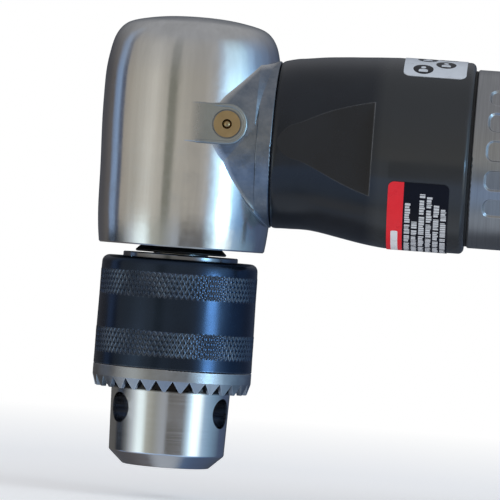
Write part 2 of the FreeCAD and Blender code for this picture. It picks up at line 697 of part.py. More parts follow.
def head_small_parts():
    """Grease fitting and its ball, the flange's O-ring and the pinion's bearing."""
    parts = {}
    front = BOSS_Y[0] - FITTING_PROUD
    back = BOSS_Y[0] + FITTING_DEPTH
    body = cross_rod(FITTING_R, BOSS_X1, BOSS_Z, front, back)
    seat = cross_rod(FITTING_SEAT_R, BOSS_X1, BOSS_Z, front - 1, back - 1.0)
    passage = cross_rod(GREASE_PASSAGE_R, BOSS_X1, BOSS_Z, front, back + 1)
    parts["grease_fitting"] = body.cut([seat, passage])
    parts["grease_ball"] = Part.makeSphere(FITTING_BALL_R, V(BOSS_X1, front + FITTING_BALL_R, BOSS_Z))
    groove0, groove1, groove_depth = ORING_GROOVE
    ring = Part.makeTorus(SPIGOT_R - groove_depth + ORING_R + 0.02, ORING_R,
                          V(0, 0, (groove0 + groove1) / 2), Z_AXIS)
    parts["case_oring"] = lay(ring)
    outer, inner, balls = bearing(*PINION_BEARING)
    shift = V(0, 0, PINION_BEARING_X)
    parts["pinion_bearing_outer"] = lay(moved(outer, shift))
    parts["pinion_bearing_inner"] = lay(moved(inner, shift))
    parts["pinion_bearing_balls"] = group([lay(moved(ball, shift)) for ball in balls])
    parts["bevel_pinion"] = pinion()
    return parts


def planetary_parts():
    """Ring gear, carrier, planet pins and planets, all about the handle axis."""
    parts = {}
    ring = rod(CASE_BORE_R, *RING_GEAR_X)
    space = spur_gear(RING_GEAR_TEETH, SPUR_MODULE, RING_GEAR_X[0] - 1, RING_GEAR_X[1] + 1,
                      internal=True)
    parts["ring_gear"] = lay(ring.cut(spun(space, ring_phase())))

    x0, x1, hub_r = CARRIER_HUB
    d0, d1, disc_r = CARRIER_DISC
    seats = [V(*polar(CARRIER_R, 120 * i), 0) for i in range(PLANETS)]
    carrier = rod(hub_r, x0, x1).fuse([rod(disc_r, d0, d1), rod(disc_r, *CARRIER_REAR)] + [
        Part.makeCylinder(POST_R, CARRIER_REAR[1] - d1, V(*polar(POST_RING_R, 60 + 120 * i), d1), Z_AXIS)
        for i in range(PLANETS)])
    holes = [Part.makeCylinder(PLANET_PIN_R, 30, seat + V(0, 0, 20), Z_AXIS) for seat in seats]
    carrier = carrier.removeSplitter().cut(
        holes + [rod(PINION_TAIL_R, x0 - 1, PINION_END + 1), rod(CARRIER_HOLE_R, 38, 42)])
    parts["planet_carrier"] = lay(carrier)
    pins = [Part.makeCylinder(PLANET_PIN_R, CARRIER_REAR[1] - d0, seat + V(0, 0, d0), Z_AXIS)
            for seat in seats]
    parts["planet_pins"] = group([lay(pin) for pin in pins])

    gear = spur_gear(PLANET_TEETH, SPUR_MODULE, *PLANET_X).cut(rod(PLANET_PIN_R + RUN_GAP, 20, 50))
    for i, seat in enumerate(seats):
        placed = moved(spun(gear, planet_phase(120.0 * i)), seat)
        parts["planet_gear_%d" % (i + 1)] = lay(placed)
    return parts


def planet_phase(seat_angle):
    """Angle of a planet's first tooth, so that a sun tooth at 0 degrees meshes with it."""
    pitch = 360.0 / PLANET_TEETH
    sun_turns = SUN_TEETH * seat_angle / 360.0
    facing = seat_angle + 180.0
    return (facing - pitch * (0.5 - sun_turns)) % pitch


def ring_phase():
    """Angle of the ring gear's first gap, facing the first planet's outer side."""
    pitch = 360.0 / PLANET_TEETH
    tooth = (-planet_phase(0.0)) / pitch
    return -tooth * 360.0 / RING_GEAR_TEETH


def motor_parts():
    """Rotor, vanes, cylinder, end plates, their bearings and the locating pin."""
    parts = {}
    sun = spur_gear(SUN_TEETH, SPUR_MODULE, *SUN_X)
    f0, f1 = FRONT_PLATE
    r0, r1 = REAR_PLATE
    seat_r, race_r = ROTOR_BEARING[:2]
    shoulder_r, wall, gap = ROTOR_SHOULDER_R, PLATE_WALL, ROTOR_END_GAP
    shaft = turned([
        (0, SUN_X[1] - 0.5), (ROTOR_NECK_R, SUN_X[1] - 0.5), (ROTOR_NECK_R, f0 - 0.3), (seat_r, f0 - 0.3),
        (seat_r, f1 - wall), (shoulder_r, f1 - wall), (shoulder_r, f1 + gap), (ROTOR_R, f1 + gap),
        (ROTOR_R, r0 - gap), (shoulder_r, r0 - gap), (shoulder_r, r0 + wall), (seat_r, r0 + wall),
        (seat_r, r1, 0.4), (0, r1)])
    slot = box((VANE_INNER_R - 0.2, -VANE_T / 2 - VANE_GAP, f1), (20, VANE_T / 2 + VANE_GAP, r0))
    parts["rotor"] = lay(shaft.cut(ring_of(slot, VANES)).fuse(sun).removeSplitter())
    vane = box((VANE_INNER_R, -VANE_T / 2, f1 + 0.2), (ROTOR_R - 0.05, VANE_T / 2, r0 - 0.2))
    parts["rotor_vanes"] = group([lay(v) for v in ring_of(vane, VANES)])

    bore = Part.makeCylinder(MOTOR_BORE_R, r0 - f1, V(-MOTOR_OFFSET, 0, f1), Z_AXIS)
    pin = Part.makeCylinder(LOCATING_PIN_R, r1 - f1, V(MOTOR_R - 1.3, 0, f1 - wall), Z_AXIS)
    count, spacing, port_r = CYLINDER_PORTS
    turns = [150 + spacing * i for i in range(count)]
    ports = [Part.makeCylinder(port_r, 8, V(*polar(12, turn), (f1 + r0) / 2), V(*polar(1, turn), 0))
             for turn in turns]
    parts["motor_cylinder"] = lay(rod(MOTOR_R, f1, r0).cut([bore, pin] + ports))
    front = rod(MOTOR_R, f0, f1).cut([rod(race_r, f0 - 1, f1 - wall),
                                      rod(shoulder_r + RUN_GAP, f0, f1 + 1), pin])
    rear = rod(MOTOR_R, r0, r1).cut([rod(race_r, r0 + wall, r1 + 1),
                                     rod(shoulder_r + RUN_GAP, r0 - 1, r1), pin])
    parts["front_end_plate"] = lay(front)
    parts["rear_end_plate"] = lay(rear)
    parts["cylinder_pin"] = lay(pin)
    outer, inner, balls = bearing(*ROTOR_BEARING)
    seats = [V(0, 0, f0), V(0, 0, r0 + wall)]
    parts["rotor_bearing_outers"] = group([lay(moved(outer, s)) for s in seats])
    parts["rotor_bearing_inners"] = group([lay(moved(inner, s)) for s in seats])
    parts["rotor_bearing_balls"] = group([lay(moved(b, s)) for s in seats for b in balls])
    return parts


def gear_case():
    """The black case between head and motor housing, with two wrench flats."""
    x0, x1 = CASE_X
    sections = [Part.Wire(Part.makeCircle(radius, V(x, 0, AXIS_Z + rise), X_AXIS))
                for x, radius, rise in CASE_PROFILE]
    full_x = CASE_PROFILE[-1][0]
    barrel = lay(turned([(0, full_x), (CASE_R, full_x), (CASE_R, x1, 1.2), (0, x1)]))
    hollow = lay(turned([
        (0, x0 - 1), (CASE_BORE_R, x0 - 1), (CASE_BORE_R, FRONT_PLATE[0]), (MOTOR_R, FRONT_PLATE[0]),
        (MOTOR_R, HOUSING_SPIGOT_X), (CASE_THREAD_R, HOUSING_SPIGOT_X), (CASE_THREAD_R, x1 + 1),
        (0, x1 + 1)]))
    case = Part.makeLoft(sections, True).fuse(barrel).removeSplitter().cut(hollow)
    for side in (-1, 1):
        low, high = sorted((side * CASE_FLAT, side * 30))
        flat = box((x0 - 1, low, AXIS_Z - 25), (CASE_FLAT_END, high, AXIS_Z + 25))
        flat.rotate(V(CASE_FLAT_END, side * CASE_FLAT, AXIS_Z), Z_AXIS, -side * CASE_FLAT_TILT)
        case = case.cut(flat)
    return case


def pocket(width, length, depth):
    """A shallow rounded pocket with sloped walls, at the housing's top, starting at x = 0."""
    def outline(grow, z):
        x0, x1 = -grow, length + grow
        y = width / 2 + grow
        flat = Part.makePlane(x1 - x0, 2 * y, V(x0, -y, z))
        wire = flat.OuterWire
        face = Part.Face(wire)
        solid = face.extrude(V(0, 0, 1))
        upright = [e for e in solid.Edges if abs(e.Vertexes[0].Z - e.Vertexes[-1].Z) > 0.5]
        rounded = solid.makeFillet(POCKET_CORNER + grow, upright)
        low = min(rounded.Faces, key=lambda f: f.CenterOfMass.z)
        return low.OuterWire
    return Part.makeLoft([outline(0, -depth), outline(depth * 2, depth)], True, True)


def motor_housing():
    """The silver handle: motor bore, valve bores, air passages, lever lugs and grip pockets."""
    x0, x1 = HOUSING_X
    tail_x, tail_r = HOUSING_TAIL
    body = lay(turned([
        (0, HOUSING_SPIGOT_X), (CASE_THREAD_R, HOUSING_SPIGOT_X, 0.3), (CASE_THREAD_R, x0),
        (HOUSING_R, x0, 0.5), (HOUSING_R, x1, 0.6), (tail_r, x1), (tail_r, tail_x, 0.4), (0, tail_x)]))
    lug = box((LUG_X[0], -LUG_WIDTH / 2, LUG_BOTTOM), (LUG_X[1], LUG_WIDTH / 2, AXIS_Z))
    upright = [e for e in lug.Edges if abs(e.Vertexes[0].Z - e.Vertexes[-1].Z) < 0.1
               and abs(e.CenterOfMass.z - LUG_BOTTOM) < 0.1]
    lug = lug.makeFillet(1.5, upright)
    body = body.fuse(lug).removeSplitter()
    px, pz = LEVER_PIVOT
    passage = AXIS_Z - INLET_PORT_DROP
    cuts = [
        lay(rod(MOTOR_R, HOUSING_SPIGOT_X - 1, HOUSING_BORE_END)),
        Part.makeCylinder(VALVE_BUSH_R, BUSH_TOP - 40, V(VALVE_X, 0, 40), Z_AXIS),
        Part.makeCylinder(VALVE_CHAMBER_R, VALVE_CHAMBER_TOP - BUSH_TOP + 1,
                          V(VALVE_X, 0, BUSH_TOP - 1), Z_AXIS),
        lay(rod(INLET_PASSAGE_R, VALVE_X, tail_x + 1)),
        lay(rod(INLET_SHANK_R, x1 - 4, tail_x + 1)),
        Part.makeCylinder(PORT_R, VALVE_X - REVERSE_X, V(REVERSE_X, 0, passage), X_AXIS),
        Part.makeCylinder(REVERSE_R, 60, V(REVERSE_X, 0, REVERSE_Z[0]), Z_AXIS),
        Part.makeCylinder(KNOB_FLAT_R, 20, V(REVERSE_X, 0, REVERSE_Z[1]), Z_AXIS),
        Part.makeCylinder(MOTOR_PORT_R, REVERSE_X - REAR_PLATE[0],
                          V(REAR_PLATE[0], 0, AXIS_Z + MOTOR_PORT_RISE), X_AXIS),
        Part.makeCylinder(MOTOR_PORT_R, REVERSE_X - REAR_PLATE[0],
                          V(REAR_PLATE[0], 0, AXIS_Z - REVERSE_PORT_DROP), X_AXIS),
        box((LUG_X[0] - 1, -TANG_WIDTH / 2 - 0.15, 40),
            (LUG_X[1] - LUG_WALL, TANG_WIDTH / 2 + 0.15, LEVER_SLOT_TOP)),
        cross_rod(LEVER_PIN_R, px, pz, -10, 10),
    ]
    exhaust = Part.makeCylinder(EXHAUST_R, tail_x - EXHAUST_START, V(0, EXHAUST_RING_R, EXHAUST_START),
                                Z_AXIS)
    cuts += [lay(spun(exhaust, 60 + 40 * i)) for i in (-2, -1, 0)]
    cuts += [lay(spun(exhaust, 160 + 40 * i)) for i in (0, 1, 2)]
    flute = pocket(POCKET_WIDTH, POCKET_LENGTH, POCKET_DEPTH)
    flute.translate(V(POCKET_X, 0, HOUSING_R))
    for i in range(POCKETS_A_SIDE):
        turn = POCKET_MIDDLE + POCKET_STEP * (i - (POCKETS_A_SIDE - 1) / 2)
        cuts += [moved(spun(flute, side * turn, X_AXIS), V(0, 0, AXIS_Z)) for side in (-1, 1)]
    return body.cut(cuts)


def valve_parts():
    """Throttle lever with its pin, valve stem, ball, bush and spring."""
    parts = {}
    px, pz = LEVER_PIVOT
    bar = box((-LEVER_LENGTH, -LEVER_WIDTH / 2, -LEVER_THICK), (-TANG_LENGTH, LEVER_WIDTH / 2, 0))
    ends = [e for e in bar.Edges if abs(e.Vertexes[0].Z - e.Vertexes[-1].Z) > 1
            and e.CenterOfMass.x < -LEVER_LENGTH + 1]
    bar = bar.makeFillet(5.0, ends)
    tang = box((-TANG_LENGTH - 2, -TANG_WIDTH / 2, -LEVER_THICK), (0, TANG_WIDTH / 2, 0))
    eye = cross_rod(LEVER_EYE_R, 0, 0, -TANG_WIDTH / 2, TANG_WIDTH / 2)
    lever = bar.fuse([tang, eye]).removeSplitter()
    lever = lever.cut(cross_rod(LEVER_PIN_R + RUN_GAP, 0, 0, -10, 10))
    lever.rotate(V(0, 0, 0), Y_AXIS, -LEVER_SLOPE)
    lever.translate(V(px, 0, pz))
    parts["throttle_lever"] = lever
    parts["lever_pin"] = cross_rod(LEVER_PIN_R, px, pz, -LUG_WIDTH / 2, LUG_WIDTH / 2)

    seat = BUSH_TOP + math.sqrt(VALVE_BALL_R ** 2 - VALVE_SEAT_R ** 2) + 0.02
    slope = math.radians(LEVER_SLOPE)
    pad = pz - (px - VALVE_X) * math.tan(slope)
    tip = pad + VALVE_STEM_R / math.cos(slope) + STEM_TIP_GAP
    stem = Part.makeCylinder(VALVE_STEM_R, seat - VALVE_BALL_R - tip, V(VALVE_X, 0, tip), Z_AXIS)
    dome = Part.makeSphere(VALVE_STEM_R, V(VALVE_X, 0, tip))
    parts["valve_stem"] = stem.fuse(dome).removeSplitter()
    parts["valve_ball"] = Part.makeSphere(VALVE_BALL_R, V(VALVE_X, 0, seat))
    bush = Part.makeCylinder(VALVE_BUSH_R, BUSH_TOP - BUSH_BOTTOM, V(VALVE_X, 0, BUSH_BOTTOM), Z_AXIS)
    parts["valve_bush"] = bush.cut([
        Part.makeCylinder(VALVE_GUIDE_R, 30, V(VALVE_X, 0, 45), Z_AXIS),
        Part.makeCylinder(VALVE_SEAT_R, 10, V(VALVE_X, 0, BUSH_BOTTOM + 4), Z_AXIS),
        Part.makeCylinder(PORT_R, 6, V(VALVE_X, 0, AXIS_Z - INLET_PORT_DROP), V(-1, 0, 0))])
    low = seat + math.sqrt(VALVE_BALL_R ** 2 - SPRING_R ** 2) + SPRING_WIRE + SPRING_GAP
    height = VALVE_CHAMBER_TOP - SPRING_WIRE - low
    helix = Part.makeHelix(height / SPRING_TURNS, height, SPRING_R)
    profile = Part.Wire(Part.makeCircle(SPRING_WIRE, V(SPRING_R, 0, 0), Y_AXIS))
    spring = Part.Wire(helix.Edges).makePipeShell([profile], True, True)
    parts["valve_spring"] = moved(spring, V(VALVE_X, 0, low))
    return parts


def reverse_parts():
    """The reverse valve's rotor and its knob."""
    low = REVERSE_Z[0]
    centre = V(REVERSE_X, 0, 0)
    foot = low + 2 * RUN_GAP
    stem = Part.makeCylinder(REVERSE_R - RUN_GAP, KNOB_Z[0] - foot, centre + V(0, 0, foot), Z_AXIS)
    stem = stem.cut(Part.makeCylinder(PORT_R, 12, V(REVERSE_X - 6, 0, AXIS_Z - REVERSE_PORT_DROP), X_AXIS))
    disc_top = KNOB_Z[0] + KNOB_DISC
    knob = turned([(0, KNOB_Z[0]), (KNOB_R, KNOB_Z[0], 0.4), (KNOB_R, disc_top, 0.6), (0, disc_top)])
    grip = box((-KNOB_R + 0.8, -KNOB_GRIP / 2, disc_top - 1), (KNOB_R - 0.8, KNOB_GRIP / 2, KNOB_Z[1]))
    knob = knob.fuse(grip).removeSplitter()
    knob.translate(centre)
    return {"reverse_valve": stem, "reverse_knob": knob}


def tail_parts():
    """Exhaust deflector, muffler felt, inlet bushing and inlet screen."""
    parts = {}
    x0, x1 = DEFLECTOR_X
    deflector = turned([(DEFLECTOR_BORE_R, x0 + 0.1), (HOUSING_R, x0 + 0.1, 0.5), (HOUSING_R, x1, 2.0),
                        (INLET_SHANK_R, x1), (INLET_SHANK_R, x1 - DEFLECTOR_WALL),
                        (DEFLECTOR_BORE_R, x1 - DEFLECTOR_WALL)])
    hole = Part.makeCylinder(EXHAUST_R, 20, V(0, EXHAUST_RING_R + 1.8, x1 - 10), Z_AXIS)
    deflector = lay(deflector.cut(ring_of(hole, EXHAUST_HOLES, 15)))
    parts["exhaust_deflector"] = deflector
    parts["muffler_felt"] = lay(tube(INLET_SHANK_R, DEFLECTOR_BORE_R, *FELT_X))
    hexagon = moved(prism(INLET_HEX_AF, INLET_END - INLET_HEX_X), V(0, 0, INLET_HEX_X))
    corners = turned([(0, INLET_HEX_X), (INLET_HEX_AF * 0.575, INLET_HEX_X),
                      (INLET_HEX_AF * 0.575, INLET_END, 1.4), (0, INLET_END)])
    shank = rod(INLET_SHANK_R, HOUSING_X[1] - 4, INLET_HEX_X)
    bushing = hexagon.common(corners).fuse(shank).removeSplitter()
    parts["inlet_bushing"] = lay(bushing.cut([
        rod(INLET_THREAD_R, INLET_HEX_X, INLET_END + 1), rod(INLET_PASSAGE_R, 150, INLET_HEX_X + 1)]))
    spots = [V(*polar(SCREEN_PITCH * ring, 60 * k / ring), INLET_HEX_X - 2)
             for ring in (1, 2) for k in range(6 * ring)]
    mesh = [Part.makeCylinder(SCREEN_HOLE_R, 3, spot, Z_AXIS) for spot in spots]
    screen = rod(INLET_PASSAGE_R, INLET_HEX_X - 1.5, INLET_HEX_X - 1.5 + SCREEN_T)
    parts["inlet_screen"] = lay(screen.cut(mesh))
    return parts


def label(x_range, angles):
    """A thin sticker on the gear case; angles are measured down from the front (-Y) side."""
    radius = CASE_R
    start, end = angles
    strip = Part.Face(Part.makePolygon([
        V(0, radius, x_range[0]), V(0, radius + LABEL_T, x_range[0]),
        V(0, radius + LABEL_T, x_range[1]), V(0, radius, x_range[1]), V(0, radius, x_range[0])]))
    strip = spun(strip, start - 180)
    solid = strip.revolve(V(0, 0, 0), Z_AXIS, end - start)
    short = [e for e in solid.Edges if e.Length < LABEL_T * 1.5]
    return lay(solid.makeFillet(LABEL_CORNER, short))


def build():
    """All sub-parts by name."""
    parts = {}
    parts.update(chuck_parts())
    parts.update(spindle_parts())
    parts["angle_head"] = angle_head()
    parts.update(head_small_parts())
    parts["gear_case"] = gear_case()
    parts["gasket_ring"] = lay(tube(CASE_THREAD_R, GASKET_R, *GASKET_X))
    parts.update(planetary_parts())
    parts.update(motor_parts())
    parts["motor_housing"] = motor_housing()
    parts.update(valve_parts())
    parts.update(reverse_parts())
    parts.update(tail_parts())
    parts["caution_label"] = label(CAUTION_X, CAUTION_ANGLES)
    parts["safety_label"] = label(SAFETY_X, SAFETY_ANGLES)
    return parts


def main():
    """Write every sub-part to its own STEP file."""
    os.makedirs("parts", exist_ok=True)
    for name, shape in build().items():
        shape.exportStep("parts/%s.step" % name)
        bound = shape.BoundBox
        print("%-24s %d solid(s) valid %s volume %.1f x %.1f..%.1f y %.1f..%.1f z %.1f..%.1f" % (
            name, len(shape.Solids), shape.isValid(), shape.Volume, bound.XMin, bound.XMax,
            bound.YMin, bound.YMax, bound.ZMin, bound.ZMax))


if __name__ == "__main__":
    main()
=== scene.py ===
"""Looks of the right-angle air drill: materials, the knurled chuck sleeve, stickers, studio and camera.

Lengths are metres in the CAD frame: spindle axis along Z through the origin, handle along +X.
"""
import math
import random

import bmesh
import bpy
from mathutils import Matrix, Vector


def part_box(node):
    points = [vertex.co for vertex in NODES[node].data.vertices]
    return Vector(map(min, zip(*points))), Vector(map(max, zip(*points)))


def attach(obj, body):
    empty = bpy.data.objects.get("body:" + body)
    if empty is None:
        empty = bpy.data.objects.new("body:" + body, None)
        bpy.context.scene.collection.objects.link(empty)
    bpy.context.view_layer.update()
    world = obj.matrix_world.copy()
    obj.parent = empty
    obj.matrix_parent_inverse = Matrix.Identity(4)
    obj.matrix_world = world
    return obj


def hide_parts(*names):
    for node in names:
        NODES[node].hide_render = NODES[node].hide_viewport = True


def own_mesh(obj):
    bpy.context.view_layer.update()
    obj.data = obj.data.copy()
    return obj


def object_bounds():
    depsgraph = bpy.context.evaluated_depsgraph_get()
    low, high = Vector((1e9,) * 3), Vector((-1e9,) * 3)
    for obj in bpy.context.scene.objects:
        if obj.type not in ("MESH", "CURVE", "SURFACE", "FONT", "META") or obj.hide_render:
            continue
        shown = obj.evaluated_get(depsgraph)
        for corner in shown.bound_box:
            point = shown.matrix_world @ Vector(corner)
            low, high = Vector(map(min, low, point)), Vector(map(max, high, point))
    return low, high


MM = 0.001
CASE_R = 20.9 * MM
BOSS_Z = 75.2 * MM
# The turned part of the head: height and radius in millimetres.
BARREL = [(47.5, 18.15), (48.5, 18.23), (54, 18.8), (64, 19.05), (75, 19.4), (82, 19.4), (86.5, 19.2),
          (90.3, 18.6), (93.7, 17.6), (96.2, 15.6)]
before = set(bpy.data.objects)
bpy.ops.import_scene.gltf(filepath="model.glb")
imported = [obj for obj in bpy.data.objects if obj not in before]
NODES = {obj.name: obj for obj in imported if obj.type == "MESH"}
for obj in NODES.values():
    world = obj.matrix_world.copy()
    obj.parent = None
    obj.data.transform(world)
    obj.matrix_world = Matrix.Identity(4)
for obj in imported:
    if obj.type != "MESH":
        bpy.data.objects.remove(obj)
CAD_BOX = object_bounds()
AXIS_Z = sum(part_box("gear_case")[i].z for i in (0, 1)) / 2
SCENE = bpy.context.scene


# ---------------------------------------------------------------- node tree helpers

class Tree:
    """A node tree, with short calls for the nodes used here."""

    def __init__(self, tree):
        self.tree = tree

    def node(self, kind, **settings):
        made = self.tree.nodes.new(kind)
        for key, value in settings.items():
            setattr(made, key, value)
        return made

    def feed(self, socket, value):
        if isinstance(value, bpy.types.NodeSocket):
            self.tree.links.new(value, socket)
        elif isinstance(value, (tuple, list)) and len(value) == 3 and socket.type == "RGBA":
            socket.default_value = (*value, 1)
        else:
            socket.default_value = value

    def math(self, operation, a, b=0.0):
        made = self.node("ShaderNodeMath", operation=operation)
        for socket, value in zip(made.inputs, (a, b)):
            self.feed(socket, value)
        return made.outputs[0]

    def ramp(self, value, low, high, out_low=0.0, out_high=1.0):
        made = self.node("ShaderNodeMapRange", clamp=True)
        for socket, number in zip(made.inputs, (value, low, high, out_low, out_high)):
            self.feed(socket, number)
        return made.outputs["Result"]

    def mix(self, share, a, b):
        made = self.node("ShaderNodeMix", data_type="RGBA")
        self.feed(made.inputs["Factor"], share)
        self.feed(made.inputs["A"], a if isinstance(a, bpy.types.NodeSocket) else (*a, 1))
        self.feed(made.inputs["B"], b if isinstance(b, bpy.types.NodeSocket) else (*b, 1))
        return made.outputs["Result"]

    def glow(self, colour):
        """Plain emission of a colour as the material's surface."""
        made = self.node("ShaderNodeEmission")
        self.feed(made.inputs["Color"], colour)
        return made.outputs[0]


class Paint(Tree):
    """A new material and its node tree."""

    def __init__(self, name):
        self.material = bpy.data.materials.new(name)
        self.material.use_nodes = True
        super().__init__(self.material.node_tree)
        self.shader = self.tree.nodes["Principled BSDF"]
        self.place = self.node("ShaderNodeTexCoord").outputs["Object"]

    def surface(self, output):
        self.feed(self.tree.nodes["Material Output"].inputs["Surface"], output)

    def xyz(self):
        made = self.node("ShaderNodeSeparateXYZ")
        self.feed(made.inputs[0], self.place)
        return made.outputs

    def from_axis(self):
        """Distance from the spindle's axis."""
        x, y, _ = self.xyz()
        return self.math("SQRT", self.math("ADD", self.math("MULTIPLY", x, x),
                                           self.math("MULTIPLY", y, y)))

    def stretched(self, scale):
        """The object's coordinates in millimetres, scaled on each axis."""
        made = self.node("ShaderNodeVectorMath", operation="MULTIPLY")
        self.feed(made.inputs[0], self.place)
        made.inputs[1].default_value = [s / MM for s in scale]
        return made.outputs[0]

    def noise(self, place, scale=1.0, detail=3.0, rough=0.5):
        made = self.node("ShaderNodeTexNoise")
        self.feed(made.inputs["Vector"], place)
        made.inputs["Scale"].default_value = scale
        made.inputs["Detail"].default_value = detail
        made.inputs["Roughness"].default_value = rough
        return made.outputs["Fac"]

    def bump(self, height, distance, strength=1.0, after=None):
        made = self.node("ShaderNodeBump")
        made.inputs["Strength"].default_value = strength
        made.inputs["Distance"].default_value = distance
        self.feed(made.inputs["Height"], height)
        if after:
            self.feed(made.inputs["Normal"], after)
        return made.outputs["Normal"]

    def set(self, **values):
        for name, value in values.items():
            self.feed(self.shader.inputs[name.replace("_", " ")], value)
        return self

    def around(self, axis):
        """Lathe lines round the spindle (Z) or the handle (X); highlights stretch across them."""
        self.feed(self.shader.inputs["Tangent"],
                  self.node("ShaderNodeTangent", direction_type="RADIAL", axis=axis).outputs[0])
        self.set(Anisotropic_Rotation=0.25)
        return self

    def edge_mask(self, size=0.35 * MM):
        """0 on open faces, towards 1 along sharp edges."""
        bevel = self.node("ShaderNodeBevel", samples=4)
        bevel.inputs["Radius"].default_value = size
        dot = self.node("ShaderNodeVectorMath", operation="DOT_PRODUCT")
        self.feed(dot.inputs[0], bevel.outputs[0])
        self.feed(dot.inputs[1], self.node("ShaderNodeNewGeometry").outputs["Normal"])
        return self.ramp(dot.outputs["Value"], 0.995, 0.90)


def shade(*names):
    """Give one material to CAD nodes or pieces."""
    def give(material):
        for name in names:
            target = NODES.get(name) or bpy.data.objects[name]
            target.data.materials.clear()
            target.data.materials.append(material)
        return material
    return give


# ---------------------------------------------------------------- materials

def turned_metal(name, colour, axis, rough=0.22, lines=6.0, contrast=0.10, line_depth=0.0012 * MM,
                 anisotropic=0.55, shade_above=None, shade_within=None):
    """Bright metal with fine lathe lines round an axis; painted shade makes it near black above a height
    and darker inside a radius.
    """
    t = Paint(name)
    across = (0.05, 0.05, lines) if axis == "Z" else (lines, 0.05, 0.05)
    fine = t.noise(t.stretched(across), 1.0, 4.0, 0.65)
    broad = t.noise(t.stretched((0.12,) * 3), 1.0, 3.0)
    smudge = t.ramp(broad, 0.35, 0.7)
    dark = tuple(c * (1 - contrast) for c in colour)
    tint = t.mix(t.ramp(fine, 0.3, 0.7), dark, colour)
    if shade_above is not None:
        # Painted shade: above this height the steel is painted near black, as shade behind the key
        # gear's teeth.
        tint = t.mix(t.ramp(t.xyz()[2], shade_above, shade_above + 0.4 * MM), tint, (0.03, 0.028, 0.027))
    if shade_within is not None:
        # Painted shade: inside this radius and above 6.2 mm, in the holes and bores, the steel is
        # painted darker.
        hole_shade = t.math("MULTIPLY", t.ramp(t.from_axis(), shade_within, shade_within - 0.2 * MM),
                      t.ramp(t.xyz()[2], 5.6 * MM, 6.2 * MM))
        tint = t.mix(hole_shade, tint, (0.34, 0.35, 0.37))
    t.set(Base_Color=tint, Metallic=1.0,
          Roughness=t.math("ADD", t.ramp(fine, 0.3, 0.7, rough - 0.05, rough + 0.05),
                           t.math("MULTIPLY", smudge, 0.07)),
          Anisotropic=anisotropic, Normal=t.bump(fine, line_depth))
    return t.around(axis).material


def blasted_metal(name, colour, rough=0.42, grain=2.2, edge=0.0):
    """Matte metal with a fine grain; the share in edge paints its sharp edges paler, a painted
    highlight.
    """
    t = Paint(name)
    fine = t.noise(t.stretched((grain,) * 3), 1.0, 2.0)
    broad = t.noise(t.stretched((0.25,) * 3), 1.0, 4.0)
    dark = tuple(c * 0.78 for c in colour)
    tint = t.mix(t.ramp(broad, 0.35, 0.7), dark, colour)
    if edge:
        # Painted highlight: sharp edges are painted pale by the share in edge.
        tint = t.mix(t.math("MULTIPLY", t.edge_mask(0.25 * MM), edge), tint, (0.85, 0.84, 0.81))
    t.set(Base_Color=tint, Metallic=1.0,
          Roughness=t.ramp(broad, 0.3, 0.7, rough - 0.06, rough + 0.08),
          Normal=t.bump(fine, 0.012 * MM))
    return t.material


def barrel_radius(t):
    """The head's outer radius at the shading point's height, from the BARREL stations."""
    low, high, widest = 40, 100, 25
    curve = t.node("ShaderNodeFloatCurve")
    points = curve.mapping.curves[0].points
    for _ in BARREL[1:-1]:
        points.new(0.5, 0.5)
    for point, (height, radius) in zip(points, BARREL):
        point.location = ((height - low) / (high - low), radius / widest)
    curve.mapping.update()
    t.feed(curve.inputs["Value"], t.ramp(t.xyz()[2], low * MM, high * MM))
    return t.math("MULTIPLY", curve.outputs[0], widest * MM)


def cast_areas(t):
    """Where the head is left as cast: the neck outside the turned barrel, and the boss's face."""
    x, y, z = t.xyz()
    outside = t.math("SUBTRACT", t.from_axis(), barrel_radius(t))
    neck = t.math("MULTIPLY", t.ramp(outside, 0.03 * MM, 0.7 * MM), t.ramp(x, 3.0 * MM, 4.0 * MM))
    level = t.math("ABSOLUTE", t.math("SUBTRACT", z, BOSS_Z))
    boss = t.math("MULTIPLY", t.math("LESS_THAN", level, 4.35 * MM), t.ramp(x, 1.4 * MM, 5.0 * MM))
    boss = t.math("MULTIPLY", boss, t.math("LESS_THAN", y, -18.85 * MM))
    return t.math("MAXIMUM", neck, boss), boss


def head_metal():
    """Turned and polished round the spindle, as-cast and mottled on the neck and boss."""
    t = Paint("head_aluminium")
    cast, boss = cast_areas(t)
    turned = t.math("SUBTRACT", 1.0, cast)
    fine = t.noise(t.stretched((0.06, 0.06, 7.0)), 1.0, 4.0, 0.7)
    streak = t.noise(t.stretched((0.35, 0.35, 0.02)), 1.0, 4.0, 0.6)
    cloud = t.noise(t.stretched((0.3,) * 3), 1.0, 5.0, 0.65)
    grain = t.noise(t.stretched((1.6,) * 3), 1.0, 3.0, 0.7)
    polished = t.mix(t.ramp(streak, 0.35, 0.68), (0.64, 0.635, 0.61), (0.72, 0.715, 0.69))
    mottled = t.mix(t.ramp(cloud, 0.35, 0.65), (0.20, 0.23, 0.27), (0.32, 0.34, 0.37))
    mottled = t.mix(t.math("MULTIPLY", t.ramp(grain, 0.62, 0.70), 0.55), mottled, (0.24, 0.27, 0.30))
    mottled = t.mix(boss, mottled, t.mix(cloud, (0.36, 0.375, 0.36), (0.48, 0.50, 0.48)))
    smooth = t.math("ADD", t.ramp(fine, 0.3, 0.7, 0.13, 0.19),
                    t.math("MULTIPLY", t.ramp(cloud, 0.45, 0.7), 0.07))
    rough = t.ramp(grain, 0.3, 0.7, 0.32, 0.44)
    t.set(Base_Color=t.mix(cast, polished, mottled), Metallic=1.0,
          Roughness=t.math("ADD", t.math("MULTIPLY", rough, cast), t.math("MULTIPLY", smooth, turned)),
          Anisotropic=t.math("MULTIPLY", turned, 0.6))
    height = t.math("MULTIPLY", t.math("ADD", grain, t.math("MULTIPLY", cloud, 3.0)), cast)
    t.set(Normal=t.bump(height, 0.05 * MM, 1.0, t.bump(fine, 0.0012 * MM)))
    return t.around("Z").material


